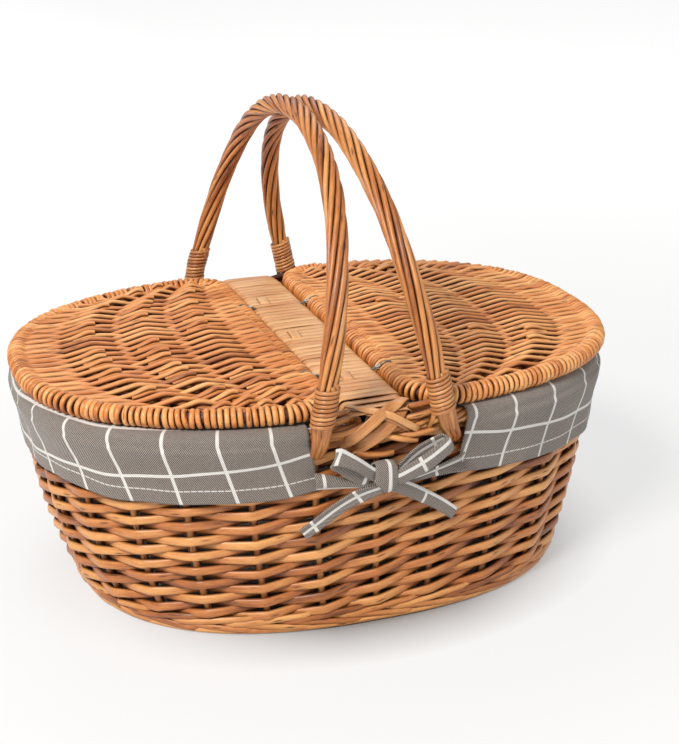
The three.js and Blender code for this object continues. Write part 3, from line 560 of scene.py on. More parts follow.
def twill():
    """Grey twill with a white windowpane check, laid out on the cloth's own measures.

    The third measure is the height above a sewn hem.
    """
    g = Graph("grey_twill")
    place = g.attribute("grain", "Vector")
    u, v, above_hem = g.split(place)
    hatch = g.math("SINE", g.math("MULTIPLY", g.math("ADD", u, v), 2 * math.pi / 1.25))
    value = g.math("MULTIPLY_ADD", hatch, 0.6, g.noise(place, (0.9, 0.9, 0.9), 3.0, 0.6))
    grey = g.ramp(value, (0.05, (0.035, 0.028, 0.023)), (0.95, (0.39, 0.332, 0.288)))
    white = g.ramp(value, (0.1, (0.62, 0.59, 0.55)), (0.9, (0.88, 0.86, 0.82)))
    from_stitch = g.math("ABSOLUTE", g.math("SUBTRACT", above_hem, stitch_height))
    thread = g.range(from_stitch, 0.3, 0.6, 0.85, 0.0)
    gaps = g.range(g.math("SINE", g.math("MULTIPLY", u, 2 * math.pi / 4.0)), -0.97, -0.8)
    lines = g.math("MULTIPLY", thread, gaps)
    for along in (u, v):
        far = g.math("PINGPONG", along, check / 2)
        line = g.range(far, check_line / 2 - 0.15, check_line / 2 + 0.25, 1.0, 0.0)
        lines = g.math("MAXIMUM", lines, line)
    return g.finished({"Base Color": g.mix(lines, grey, white), "Roughness": 0.9,
                       "Sheen Weight": 0.25}, value, 0.25, 0.7)


materials = {
    "willow": wood("willow", (0.10, 0.022, 0.005), (0.49, 0.157, 0.034), (0.78, 0.37, 0.115)),
    "lid_willow": wood("lid_willow", (0.13, 0.028, 0.006), (0.68, 0.228, 0.051),
                       (0.90, 0.45, 0.155)),
    "splint": wood("splint", (0.28, 0.08, 0.02), (0.60, 0.25, 0.08), (0.80, 0.45, 0.19), 0.2),
    "cane": wood("cane", (0.17, 0.044, 0.01), (0.42, 0.145, 0.038), (0.70, 0.32, 0.11), 0.1,
                 0.35),
    "twine": wood("twine", (0.22, 0.19, 0.15), (0.5, 0.45, 0.38), (0.74, 0.69, 0.61), 0.0, 0.8,
                  0.0),
    "cloth": twill(),
}


# The oval of the basket

def oval(half_length, half_width, angle, power=oval_power):
    return np.stack([half_length * signed_power(np.cos(angle), 2 / power),
                     half_width * signed_power(np.sin(angle), 2 / power)], -1)


def oval_normal(half_length, half_width, points, power=oval_power):
    size = np.stack(np.broadcast_arrays(half_length, half_width), -1)
    return unit(signed_power(points / size, power - 1) / size)


fine_angles = np.linspace(0, 2 * np.pi, 7201)
fine_length = distance(oval(rim_half_length, rim_half_width, fine_angles))
rim_length = fine_length[-1]


def angle_at(share):
    """The oval's angle at a share of the way round the rim, from the right end."""
    return np.interp(np.mod(share, 1.0) * rim_length, fine_length, fine_angles)


def rim_places(share):
    """Points on the rim, and the way out there."""
    points = oval(rim_half_length, rim_half_width, angle_at(share))
    return points, oval_normal(rim_half_length, rim_half_width, points)


def wall_oval(z):
    k = np.clip(z / wall_top, 0.0, 1.0)
    share = k + wall_bulge * 4 * k * (1 - k)
    return (base_half_length + (rim_half_length - base_half_length) * share,
            base_half_width + (rim_half_width - base_half_width) * share)


def wall_places(share, z, offset):
    """Points on the wall, and the way out there. offset is measured from its outer face."""
    z = np.broadcast_to(z, np.shape(share)).astype(float)
    half_length, half_width = wall_oval(z)
    points = oval(half_length, half_width, angle_at(share))
    normal = oval_normal(half_length, half_width, points)
    points = points + normal * np.broadcast_to(offset, np.shape(share))[..., None]
    return (np.concatenate([points, z[..., None]], -1),
            np.concatenate([normal, np.zeros_like(z)[..., None]], -1))


# Wall, upsett, base and rim

def stake_share(stake):
    """Where a stake stands, as a share of the way round."""
    turns, left = np.divmod(stake, stake_count)
    return turns + np.interp(left, (*range(len(stake_places)), stake_count),
                             (*stake_places, 1 + stake_places[0]))


def row_level(stake, z):
    """How far the weave is lifted at a stake, less near the base and the rim."""
    lift = np.interp(np.mod(stake, stake_count),
                     (*range(len(stake_levels)), level_from, level_to, stake_count),
                     (*stake_levels, 0.0, 0.0, stake_levels[0]))
    return lift * smooth(z, *lift_starts) * (1 - smooth(z, *lift_stops))


def wall_weave():
    """French randing: a rod starts at every stake and climbs one row from stake to stake."""
    bundle = Bundle()
    first, *inner, last = rod_joins
    for strand in range(stake_count):
        joins = [first, *(join + 2 * rng.integers(-1, 2) for join in inner), last]
        for start, stop in zip(joins, joins[1:]):
            rise = np.arange(start * wall_steps, (stop + rod_overlap) * wall_steps + 1)
            rise = rise / wall_steps
            swing = wave(rise, wall_sharp)
            z = row_from + rise * row_pitch
            z = z + row_level(rise + strand, z)
            lifts = rng.normal(0, rod_noise, stop - start + 2)
            z = z + np.interp(rise, np.arange(start, stop + 2), lifts)
            path, out = wall_places(stake_share(rise + strand), np.minimum(z, row_to),
                                    wall_middle + row_swing * swing)
            # A rod is flattened where it lies over a stake, and gets painted shade where it lies
            # behind one
            over = smooth(swing, 0.2, 1.0)
            taper = np.linspace(1.06, 0.94, len(rise))
            tone = random_tone(0.35, 0.95) - 0.35 * (1 - smooth(swing, -1.0, 0.8))
            bundle.strand(path, out, rod_half_thickness * (1 - 0.05 * over),
                          (rod_half_height + 0.3 * over) * taper, tone, 10, power=2.9)
    bundle.piece("wall_weave", "willow", "basket", "side_weave")


def wall_stakes():
    bundle = Bundle()
    z = np.linspace(stake_foot, rim_top - 6, 40)
    for stake in range(stake_count):
        path, out = wall_places(np.full(40, stake_share(stake)), z, wall_middle)
        bundle.rod(path, out, stake_radius, random_tone(0.2, 0.6))
    bundle.piece("wall_stakes", "willow", "basket")


def upsett():
    """Two rows of three rods each, worked one after the other, and the plain rods under them."""
    bundle = Bundle()
    phase = np.arange(stake_count * 10) / 10
    for z, slant in upsett_rows:
        for rod in range(3):
            turn = 2 * np.pi * (phase + rod) / 3
            swing = np.clip(1.5 * np.cos(turn) + 0.5, -1, 1)
            path, out = wall_places(stake_share(phase), z, upsett_middle + upsett_swing * swing)
            path[:, 2] += slant * upsett_lift * np.sin(turn)
            bundle.strand(path, out, *upsett_rod, random_tone(), closed=True)
    share = np.linspace(0, 1, 260, endpoint=False)
    for z, offset, radius, tone in sole_rods:
        bundle.rod(*wall_places(share, z, offset), radius, tone, closed=True)
    bundle.piece("upsett_rods", "willow", "basket", "upsett_band")


def base():
    """Rods woven in rings over and under the base sticks."""
    bundle = Bundle()
    phase = np.arange(base_spokes * 10) / 10
    for ring in range(base_rings):
        points = oval(*base_reach * (outer_ring - ring * ring_step),
                      angle_at(phase / base_spokes))
        path = np.column_stack([points, base_z + ring_swing * wave(phase + ring, ring_sharp)])
        bundle.strand(path, up, *ring_rod, random_tone(), 6, True)
    for spoke in range(base_spokes // 2):
        x, y = spoke_share * oval(*base_reach, angle_at(spoke / base_spokes))
        path = resample([[-x, -y, base_z], [0, 0, base_z], [x, y, base_z]], 9)
        bundle.strand(path, up, *spoke_rod, random_tone(0.3, 0.6), 6)
    bundle.piece("base_rods", "willow", "basket", "base_weave")


def rim():
    """The border, plaited round the stakes' ends, and the cut ends of rods between the feet."""
    bundle = Bundle()
    share = np.linspace(0, 1, 620, endpoint=False)
    points, normal = rim_places(share)
    for rod in range(border_rods):
        turn = 2 * np.pi * (share * border_twists + rod / border_rods)
        out = np.column_stack([normal * np.cos(turn)[:, None], np.sin(turn)])
        path = np.column_stack([points, np.full(len(points), rim_z)]) + out * border_reach
        # Painted light and shade: each rod is paler where the twist brings it to the outside of
        # the border and darker on the inside
        bundle.rod(path, out, border_radius, random_tone() + 0.2 * np.cos(turn), closed=True)
    for side in side_names:
        for x0, z0, x1, z1, inward in cut_ends:
            path = np.column_stack([np.linspace(x0, x1, 4), side * (cut_end_y - inward),
                                    np.linspace(z0, z1, 4)])
            bundle.rod(curve_through(path, 14), (0, side, 0), cut_end_radius, random_tone(0.5))
    bundle.piece("rim_rods", "willow", "basket", "rim_border")


# Lids

class Lid:
    """One lid, drawn as the right one. Its edge runs from the tip round the back and the front."""

    def __init__(self, end):
        self.end, self.body = end, "lid_" + end_names[end]
        (self.half_length, self.half_width, power, self.z, self.row_pitch, self.rod_half_width,
         self.wrap_pitch) = lid_sizes[end]

        def edge_at(angle):
            point = oval(self.half_length, self.half_width, np.array(angle), power)
            return point, oval_normal(self.half_length, self.half_width, point, power)

        low, high = 0.05, math.pi / 2 - 0.001
        for _ in range(50):
            middle = (low + high) / 2
            point, normal = edge_at(middle)
            if point[0] - lid_corner * normal[0] > hinge_x + lid_corner:
                low = middle
            else:
                high = middle
        point, normal = edge_at(low)
        centre = np.array([hinge_x + lid_corner, point[1] - lid_corner * normal[1]])
        turn = np.linspace(math.atan2(normal[1], normal[0]), math.pi, 60)[1:]
        arc = centre + lid_corner * np.column_stack([np.cos(turn), np.sin(turn)])
        half = np.vstack([edge_at(np.linspace(0, low, 500))[0], arc, [[hinge_x, 0.0]]])
        loop = np.vstack([half, half[-2:0:-1] * [1, -1]])
        self.count = int(np.linalg.norm(np.roll(loop, -1, 0) - loop, axis=1).sum())
        self.edge = resample(loop, self.count, True)
        along = unit(np.roll(self.edge, -2, 0) - np.roll(self.edge, 2, 0))
        self.normal = np.column_stack([along[:, 1], -along[:, 0]])
        back, front = self.edge[:, 1].argmax(), self.edge[:, 1].argmin()
        self.far = np.concatenate([np.arange(front, self.count), np.arange(0, back + 1)])
        self.near = np.arange(back, front + 1)[::-1]

    def place(self, y, line):
        """Where the edge crosses y, as a point, the way out there and its place in the loop."""
        at = line[int(np.interp(y, self.edge[line, 1], np.arange(len(line))))]
        return self.edge[at], self.normal[at], at

    def height(self, x, y):
        across = y / self.half_width
        along = (np.abs(x) - hinge_x) / (self.half_length - hinge_x)
        return lid_crown * np.clip(1 - across ** 2, 0, 1) * np.clip(1 - along ** 2, 0, 1)

    def round_edge(self, at, angles, reach=wrap_reach, slant=0.0):
        """Points round the frame at a place of the loop, each with the way out there."""
        at = at % self.count
        point, normal = self.edge[at], self.normal[at]
        along = np.array([-normal[1], normal[0]])
        c, s = np.cos(angles)[:, None], np.sin(angles)[:, None]
        flat = point + normal * c * reach + along * s * slant
        return np.column_stack([flat, self.z + reach * s, normal * c, s])

    def strand(self, bundle, points, *shape, **more):
        """A strand through points, each with the way out there, on this lid's own end."""
        turned = points * [self.end, 1, 1, self.end, 1, 1]
        bundle.strand(turned[:, :3], turned[:, 3:], *shape, **more)

    def tone(self, low, high):
        """The right lid lies further from the light, so its rods get painted light to make up for
        it and come out a little paler.
        """
        return random_tone(low, high) + 0.07 * (self.end > 0)

    def frame(self):
        """The frame rod, and the rods wound round it between the ends of the panel's rows."""
        bundle = Bundle()
        core = self.edge[::3]
        core = np.column_stack([core, np.full(len(core), self.z), 0 * core, np.ones(len(core))])
        # The frame rod's dark tone is painted shade for the gaps between the wraps
        self.strand(bundle, core, wrap_core, wrap_core, wrap_core_tone, closed=True)
        taken = sorted(self.taken)
        angles = 2 * np.pi * np.arange(14) / 14
        left = 0
        for a, b in zip(taken, taken[1:] + [taken[0] + self.count]):
            fill = round((b - a) / self.wrap_pitch) - 1
            for k in range(1, fill + 1):
                at = int(a + (b - a) * k / (fill + 1))
                if self.long_wraps(at % self.count):
                    continue
                if left == 0:
                    tone, left = self.tone(0.45, 0.85), rng.integers(1, 5)
                left -= 1
                points = self.round_edge(at, angles, wrap_reach + rng.normal(0, 0.18),
                                         rng.normal(0.5, 0.3))
                width = self.wrap_pitch * rng.uniform(*wrap_shares)
                self.strand(bundle, points, wrap_half_thickness, width, tone, closed=True)
        if self.end > 0:
            self.long_rods(bundle)
        bundle.piece(self.body + "_frame_rods", "lid_willow", self.body, self.body + "_frame")

    def long_wraps(self, at):
        return (self.end > 0 and self.normal[at, 1] > long_wraps_turn
                and self.edge[at, 0] > long_wraps_x)

    def long_rods(self, bundle):
        """The right lid's back edge is bound by thick rods that run slantwise out of the panel."""
        places = [k for k in range(self.count) if self.long_wraps(k)]
        for at in range(places[0], places[-1], 9):
            rod = []
            for ahead, inward, rise in ((17, 15.0, 2.0), (9, 6.5, 4.6)):
                k = (at + ahead) % self.count
                rod.append([*self.edge[k] - self.normal[k] * inward, self.z + rise, *up])
            arc = self.round_edge(at, np.radians(np.linspace(95, -110, 9)), slant=-3.0)
            self.strand(bundle, resample(np.vstack([rod, arc]), 22), *long_rod,
                        self.tone(0.3, 0.8))

    def row_ends(self, places, turn):
        """The ends of a row, which are wound round the frame where it turns far enough."""
        for normal, at in places:
            if abs(normal[0]) < row_wraps_from or self.long_wraps(at):
                yield np.zeros((0, 6))
            else:
                self.taken.append(int(at))
                yield self.round_edge(at, turn, wrap_reach + rng.uniform(-0.2, 0.3))

    def panel(self):
        bundle = Bundle()
        self.taken = []
        turn = np.radians(np.linspace(*row_end_turn, 12))
        rows = int((self.half_width - 7) / self.row_pitch)
        for row in range(-rows, rows + 1):
            y = row * self.row_pitch + rng.normal(0, row_noise)
            (x0, _), near_out, near_at = self.place(y, self.near)
            (x1, _), far_out, far_at = self.place(y, self.far)
            length = x1 - x0
            if length < shortest_row:
                continue
            marks = [x0, *(x0 + share * length for share in stick_shares), x1]
            x = np.linspace(x0 + row_inset, x1 - row_inset, 90)
            phase = np.interp(x, marks, range(5))
            level = 1 - smooth(np.minimum(phase, 4 - phase), 0.0, 0.8)
            swing = wave(phase + row, lid_sharp) * (1 - level) + edge_swing * level
            lean = np.interp(x, marks, rng.normal(0, lean_noise, 5))
            z = self.z + self.height(x, y) + weave_rise + lid_swing * swing
            whole = np.column_stack([x, y + lean, z, 0 * x, 0 * x, 0 * x + 1])
            near, far = self.row_ends(((near_out, near_at), (far_out, far_at)), turn)
            whole = resample(np.vstack([near[::-1], whole, far]), int(length / 2.0) + 12)
            height = whole[:, 2] - self.z - self.height(whole[:, 0], y)
            over = smooth(height / lid_swing, 0.1, 1.0)
            level = 1 - smooth(np.minimum(whole[:, 0] - x0, x1 - whole[:, 0]), 0, 9)
            half_height = 1.6 + 0.3 * level
            half_width = self.rod_half_width * (1 + 0.2 * over - 0.3 * level)
            shade = 0.3 * (1 - smooth(height, -4.0, 2.5))
            crossed = [mark for k, mark in enumerate(marks[1:-1]) if (k + 1 + row) % 2 == 0]
            parts = [whole]
            if crossed and rng.random() < cut_rows[self.end]:
                # One rod ends here under the next, which rises over it
                cut = crossed[rng.integers(0, len(crossed))]
                inside = np.nonzero(level < 0.1)[0]
                at = inside[np.abs(whole[inside, 0] - cut).argmin()]
                first, second = whole[:at + 6].copy(), whole[at - 2:].copy()
                second[:, 2] += 1.3 * (1 - smooth(second[:, 0], cut, cut + 12))
                under = smooth(first[:, 0], cut - 16, cut + 6)
                first[:, 2] -= 1.5 * under
                first[:, 1] -= 1.8 * under
                parts = [first, second]
            for k, part in enumerate(parts):
                at = slice(0, len(part)) if k == 0 else slice(len(whole) - len(part), None)
                self.strand(bundle, part, half_height[at], half_width[at],
                            self.tone(0.4, 0.9) - shade[at])
        y = np.linspace(-self.half_width + 6, self.half_width - 6, 60)
        x0, x1 = np.array([[self.place(v, line)[0][0] for v in y]
                           for line in (self.near, self.far)])
        for share in stick_shares:
            x = x0 + share * (x1 - x0)
            z = self.z + self.height(x, y) + weave_rise
            self.strand(bundle, np.column_stack([x, y, z, 0 * x, 0 * x, 0 * x + 1]),
                        *stick_rod, random_tone(0.1, 0.4))
        bundle.piece(self.body + "_panel_rods", "lid_willow", self.body, self.body + "_panel")


# Bridge

def bridge_drop(y):
    """The bridge bends down over the rim at both ends."""
    return bridge_bend * smooth(np.abs(y), bridge_bend_from, bridge_half_length + 2)


def bridge():
    bundle = Bundle()
    y = np.linspace(-bridge_half_length, bridge_half_length, 60)
    for x in bridge_rod_x:
        path = np.column_stack([np.full(60, x), y, bridge_z - bridge_drop(y)])
        bundle.rod(path, up, bridge_rod_radius, random_tone(0.3, 0.5), 10)
    bundle.piece("bridge_rods", "willow", "basket",
                 "bridge_rod_1", "bridge_rod_2", "bridge_rod_3", "bridge_rod_4")

    bundle = Bundle()
    half_height = bridge_rod_radius + strip_stand
    corner = 4.0
    loop = []
    for x, z, start in ((1, 1, 0), (-1, 1, 90), (-1, -1, 180), (1, -1, 270)):
        for angle in np.radians(np.linspace(start, start + 90, 7)):
            loop.append([x * (bridge_half_width - 0.65 - corner) + corner * math.cos(angle), 0.0,
                         z * (half_height - corner) + corner * math.sin(angle)])
    loop = resample(loop, 64, True)
    across = loop[:, 0] / bridge_half_width
    bulge = np.where(loop[:, 2] > 0, 1 - across ** 2, 0)
    out = unit(loop / [bridge_half_width, 1, half_height])
    wound_half_length = bridge_half_length - 1
    count = int(2 * wound_half_length / strip_pitch)
    for k in range(count + 1):
        path = loop + [0, -wound_half_length + k * 2 * wound_half_length / count, bridge_z]
        slant = rng.normal(0, 0.5)
        path[:, 1] += slant * across - strip_bow * bulge + rng.normal(0, 0.2)
        path[:, 2] += (bridge_crown * bulge - bridge_drop(path[:, 1]) + rng.normal(0, 0.1)
                       + 0.14 * (k % 2))
        bundle.strand(path, out, strip_half_thickness, strip_pitch / 2 + 0.05,
                      random_tone(0.6, 0.95), closed=True, power=4.0)
    for y in window_y:
        x = window_x + rng.normal(0, 1.5)
        along = np.linspace(-1, 1, 20)
        dive = smooth(np.abs(along), 0.62, 0.95)
        z = bridge_z + half_height + bridge_crown + strip_stand - window_dive * dive
        path = np.column_stack([x + 0.8 * along, y + window_half_length * along,
                                z - bridge_drop(y)])
        bundle.strand(path, up, strip_half_thickness, window_half_width,
                      random_tone(0.7, 0.95), power=3.5)
    bundle.piece("bridge_winding", "splint", "basket", "bridge_band")


def bridge_splint(end, side, node):
    """Two splints, a broad and a narrow one, that bind a corner of the bridge to the rim."""
    bundle = Bundle()
    first, second = splint_paths[end][:3], splint_paths[end][3:]
    for points, half, tone in (second, first):
        path = curve_through(np.array(points) * [1, side, 1], 34)
        path[:, 2] -= (side > 0) * back_splint_drop
        along = heading(path)
        lean = smooth(np.abs(path[:, 1]), *splint_turn)[:, None]
        out = up * (1 - lean) + np.array([0, side, 0.25]) * lean
        out = unit(out - along * (out * along).sum(1)[:, None])
        bundle.strand(path, out, splint_half_thickness, half, tone, 10, power=4.0)
    bundle.piece(node + "_strip", "splint", "basket", node)


def hinge_tie(end, y, node):
    """Twine round the lid's rod and the outer rod of the bridge, with its knot on top."""
    bundle = Bundle()
    loop = []
    for x, z, reach, start in ((hinge_x, hinge_z, wrap_core + 1.6 + twine_radius, -90),
                               (bridge_rod_x[-1], bridge_z,
                                bridge_rod_radius - 0.2 + twine_radius, 90)):
        for angle in np.radians(np.linspace(start, start + 180, 12)):
            loop.append([end * (x + reach * math.cos(angle)), y, z + reach * math.sin(angle)])
    loop = resample(loop, 44, True)
    for shift in (-twine_radius, twine_radius):
        bundle.rod(loop + [0, shift, 0], (0, 1, 0), twine_radius, random_tone(0.3, 0.8),
                   closed=True)
    angle = np.linspace(0, 4 * np.pi, 30)
    tied = np.column_stack([end * (hinge_knot_x + 1.3 * np.cos(angle)),
                            y + 1.5 * np.sin(angle), hinge_knot_z + np.cos(angle / 2)])
    bundle.rod(tied, up, twine_radius, 0.6)
    bundle.piece(node + "_twine", "twine", "basket", node)


# Handles

def handle_path(end, count=260):
    """Middle of a handle's rods, from the front foot over the crown to the back."""
    angle = np.linspace(0, math.pi, 400)
    y = -handle_half_span * signed_power(np.cos(angle), 2 / arch_power)
    z = spring_z + (handle_tops[end] - spring_z) * signed_power(np.sin(angle), 2 / arch_power)
    x = end * (foot_half_spacing + (z - pivot_z) * leg_plane[0] / leg_plane[1])
    for side in side_names:
        at, bend = np.array(leg_bends[end, side]).T
        x = x + np.interp(z, at, bend) * (side * y > 0)
    path = resample(np.column_stack([x, y, z]), count)
    for _ in range(30):
        path[1:-1, 0] = (path[:-2, 0] + path[1:-1, 0] + path[2:, 0]) / 3
    return path


def handle(end, body):
    """A rope of rods, twisted faster at its crown, with its two feet."""
    bundle = Bundle()
    path = handle_path(end)
    flat = np.array([end * leg_plane[1], 0, -leg_plane[0]])
    second = np.cross(heading(path), flat)
    share = np.linspace(0, 1, len(path))
    crown = smooth(share, 0.15, 0.45) * (1 - smooth(share, 0.55, 0.85))
    turn = np.cumsum(hoop_twist + crown_twist * crown) * np.linalg.norm(path[1] - path[0])
    drawn = 1 - drawn_in * (1 - smooth(path[:, 2], binding_to, binding_to + drawn_in_height))
    for rod in range(hoop_rods):
        angle = turn + 2 * np.pi * rod / hoop_rods
        out = flat * np.cos(angle)[:, None] + second * np.sin(angle)[:, None]
        reach = hoop_reach * drawn + hoop_wobble * np.sin(share * 40 + rod * 2.1)
        size = rng.uniform(0.95, 1.08) * drawn
        bundle.strand(path + out * reach[:, None], out, hoop_rod[0] * size, hoop_rod[1] * size,
                      random_tone(0.35, 0.8), 10)
    # The core's dark tone is painted shade for the gaps between the hoop's rods
    bundle.rod(path, flat, hoop_core, hoop_core_tone)
    for side in side_names:
        foot(bundle, end, side, path)
    bundle.piece(body + "_hoop_rods", "willow", body, body + "_hoop")


def foot(bundle, end, side, path):
    """Below the binding the rods taper together into the wall; above it their cut ends show."""
    top = path[0] if side < 0 else path[-1]
    half_length, half_width = wall_oval(pivot_z)
    wall_y = half_width * (1 - (foot_wall_x / half_length) ** oval_power) ** (1 / oval_power)
    goal = np.array([foot_x[end], side * wall_y, pivot_z])
    for rod in range(leg_rods):
        across, odd = (rod - 2) / 2, rod % 2
        start = top + [across * 4.9, side * (1.2 * odd), 3]
        middle = top * 0.5 + goal * 0.5 + [across * 4.0, side * 2.6, 0]
        low = goal + [across * 2.9, side * 1.8, 4.0 + 3 * odd]
        tip = goal + [across * 2.4, -side * 3.5, -1 + 3 * odd]
        bundle.rod(curve_through([start, middle, low, tip], 22), (0, side, 0),
                   np.linspace(*leg_radii, 22), random_tone(0.3, 0.9))
    thin = top + [-foot_x[end] * 0.12, 0, 0]
    thin_path = curve_through([thin, thin + [0, -side * 3, -8], thin + [0, -side * 9, -15]], 12)
    bundle.rod(thin_path, (0, side, 0), thin_rod_radius, 0.7)
    upper = path[np.argmin(np.abs(path[:, 2] - binding_to) + 1e3 * (side * path[:, 1] < 0))]
    for degrees, rise in stubs:
        angle = math.radians(degrees)
        stub = upper + [math.sin(angle) * stub_reach, -math.cos(angle) * stub_reach, 0]
        bundle.strand([stub - [0, 0, 4], stub, stub + [0, 0.7, rise]], (0, -1, 0), *stub_rod,
                      0.75)


def binding(end, side, body):
    """Cane wound round the foot of a handle."""
    bundle = Bundle()
    whole = handle_path(end, 900)
    leg = whole[(side * whole[:, 1] > 0) & (whole[:, 2] < 230)]
    leg = leg[np.argsort(leg[:, 2])]
    steps = 22
    share = np.arange(binding_turns * steps + 1) / (binding_turns * steps)
    z = binding_from + (binding_to - binding_from) * share
    low = np.array([end * leg_plane[0], 0, leg_plane[1]]) / leg_plane[1]
    centre = np.column_stack([np.interp(z, leg[:, 2], leg[:, k]) for k in range(3)])
    centre += np.minimum(z - leg[0, 2], 0)[:, None] * low
    inward = np.cross([0, 1, 0], unit(low))
    turn = 2 * np.pi * binding_turns * share
    out = inward * np.cos(turn)[:, None] + np.array([0, 1, 0]) * np.sin(turn)[:, None]
    pitch = (binding_to - binding_from) / binding_turns
    tones = np.repeat(rng.uniform(0.45, 0.95, binding_turns + 1), steps)[:len(z)]
    slack = np.repeat(rng.normal(0, 0.16, binding_turns + 1), steps)[:len(z)]
    tilt = out[:, :1] * up * 0.12 * binding_radius
    path = centre + out * (binding_radius - 1.0 + slack)[:, None] + tilt
    bundle.strand(path, out, cane_half_thickness, pitch / 2 - 0.08, tones, power=2.4)
    node = f"{body}_{side_names[side]}_binding"
    bundle.piece(node + "_cane", "cane", body, node)


# Cloth

def cloth_piece(node, grid, place, thickness, held, name=None, closed=False):
    """A sheet from a grid of points. place is each point's measure on the flat cloth."""
    name = name or node + "_cloth"
    rows, columns = grid.shape[:2]
    mesh = bpy.data.meshes.new(name)
    index = np.arange(rows * columns).reshape(rows, columns)
    if closed:
        index = np.vstack([index, index[:1]])
    quads = np.stack([index[:-1, :-1], index[1:, :-1], index[1:, 1:], index[:-1, 1:]], -1)
    mesh.from_pydata((grid.reshape(-1, 3) * MM).tolist(), [], quads.reshape(-1, 4).tolist())
    if place.shape[2] == 2:
        place = np.concatenate([place, np.full((rows, columns, 1), no_stitch)], -1)
    add_attribute(mesh, "grain", place.reshape(-1, 3))
    obj = piece(name, mesh, "cloth", "basket", node)
    solid = obj.modifiers.new("thickness", "SOLIDIFY")
    solid.thickness = thickness * MM
    solid.offset = 0.0


def cuff(end, node):
    """Turned down over the rim from inside the lid, with soft folds that open towards its hem."""
    shape = cuffs[end]
    columns, rows, bend_rows = cuff_columns, cuff_rows, cuff_bend_rows
    t = np.linspace(-1, 1, columns)
    stand_z, stand_out = np.array(shape["stand"]).T
    hem_at, hem_z = np.array(shape["hem"]).T
    top_edge, hem_edge = shape["edge"]
    top_lines, hem_lines = np.array(shape["lines"])
    checks = (np.arange(len(top_lines)) - 8) * check
    low_line, low_line_edge = shape["low_line"]
    ripple = 0.9 * np.sin(t * 15 + end) + 0.5 * np.sin(t * 31)
    fold = 0.55 * np.sin(t * 23) + 0.4 * np.sin(t * 41 + 2) + 0.3 * np.sin(t * 9.5 + 1)
    grid = np.zeros((rows, columns, 3))
    place = np.zeros((rows, columns, 3))
    for row in range(rows):
        drop = max(0.0, (row - bend_rows) / (rows - 1 - bend_rows))
        along = t * (top_edge + (hem_edge - top_edge) * drop)
        share = along / rim_length
        if end < 0:
            share = 0.5 - share
        low = np.interp(np.abs(along), hem_at, hem_z) + ripple * 0.6
        rim_points, rim_out = rim_places(share)
        if row < bend_rows:
            bend = cuff_bend * (1 - row / bend_rows)
            turned = rim_rod_radius + 0.9 + 0.7 * (1 - bend / math.pi)
            inward = 2.2 if bend > math.pi / 2 else 1.0
            points = rim_points + rim_out * turned * inward * math.cos(bend)
            z = np.full(columns, rim_z + cuff_lift * math.sin(bend) ** 0.8)
            above = rim_z - low + turned * bend
        else:
            z = rim_z + (low - rim_z) * drop
            wall, normal = wall_places(share, z, 0.0)
            ease = 1 - 0.35 * smooth(np.abs(t), 0.86, 1.0)
            stand = np.interp(z, stand_z, stand_out) * ease
            stand = stand + fold * 1.1 * smooth(drop, 0.08, 0.8) + ripple * 0.3 * drop
            wall = wall[:, :2] + normal[:, :2] * np.maximum(stand, least_stand)[:, None]
            over_rim = rim_points + rim_out * (rim_rod_radius + 1.5)
            tuck = smooth(drop, 0.0, 0.12)
            points = over_rim * (1 - tuck) + wall * tuck
            above = z - low
        line_at = top_lines + (hem_lines - top_lines) * drop
        line_above = low_line + (low_line_edge - low_line) * (np.abs(along) / hem_edge) ** 1.3
        grid[row] = np.column_stack([points, z])
        place[row] = np.column_stack([np.interp(along, line_at, checks), above - line_above,
                                      above])
    cloth_piece(node, grid, place, cloth_thickness, "folded")


def liner():
    """A bag that lines the wall and the base."""
    columns, side_rows, floor_rows = 420, 36, 24
    share = np.linspace(0, 1, columns)
    wrinkle = 0.5 * np.sin(share * 67.0) + 0.4 * np.sin(share * 157.0 + 1)
    grid, place = [], []
    for k in np.arange(side_rows) / (side_rows - 1):
        inset = liner_inset + (1 - smooth(k, 0.0, 0.08)) * liner_edge
        points, _ = wall_places(share, liner_top + (liner_floor + 3 - liner_top) * k,
                                inset + 0.8 * wrinkle * math.sin(math.pi * k))
        down = np.full(columns, (liner_top - liner_floor) * k)
        grid.append(points)
        place.append(np.column_stack([share * rim_length, down]))
    for k in np.arange(1, floor_rows + 1) / floor_rows:
        size = 1 - k * 0.999
        points = oval((base_half_length - 10) * size, (base_half_width - 15) * size,
                      angle_at(share))
        height = np.full(columns, liner_floor + 0.3 * math.sin(9 * k))
        grid.append(np.column_stack([points, height]))
        place.append(points)
    cloth_piece("liner_bag", np.array(grid), np.array(place), cloth_thickness,
                "draped",
                name="liner_cloth")


def ribbon(node, side, upper, lower, line_at, cross_at, held, rests_on):
    """A sewn tie between two edges, given for the front."""
    count, columns = 48, 9
    high, low = curve_through(upper, count), curve_through(lower, count)
    t = np.linspace(0, 1, columns)
    middle = (high + low) / 2
    across = low - high
    width = np.linalg.norm(across, axis=1)
    puff = unit(np.cross(across, heading(middle)))
    grid = high[:, None] * (1 - t[:, None]) + low[:, None] * t[:, None]
    grid = grid + (puff * tie_bulge[held] * width[:, None])[:, None] * (4 * t * (1 - t))[:, None]
    length = distance(middle)
    u = np.repeat((length - cross_at * length[-1])[:, None], columns, 1)
    v = (t - line_at) * width[:, None]
    cloth_piece(node, grid * [1, -side, 1], np.stack([u, v], -1), tie_thickness,
                held)


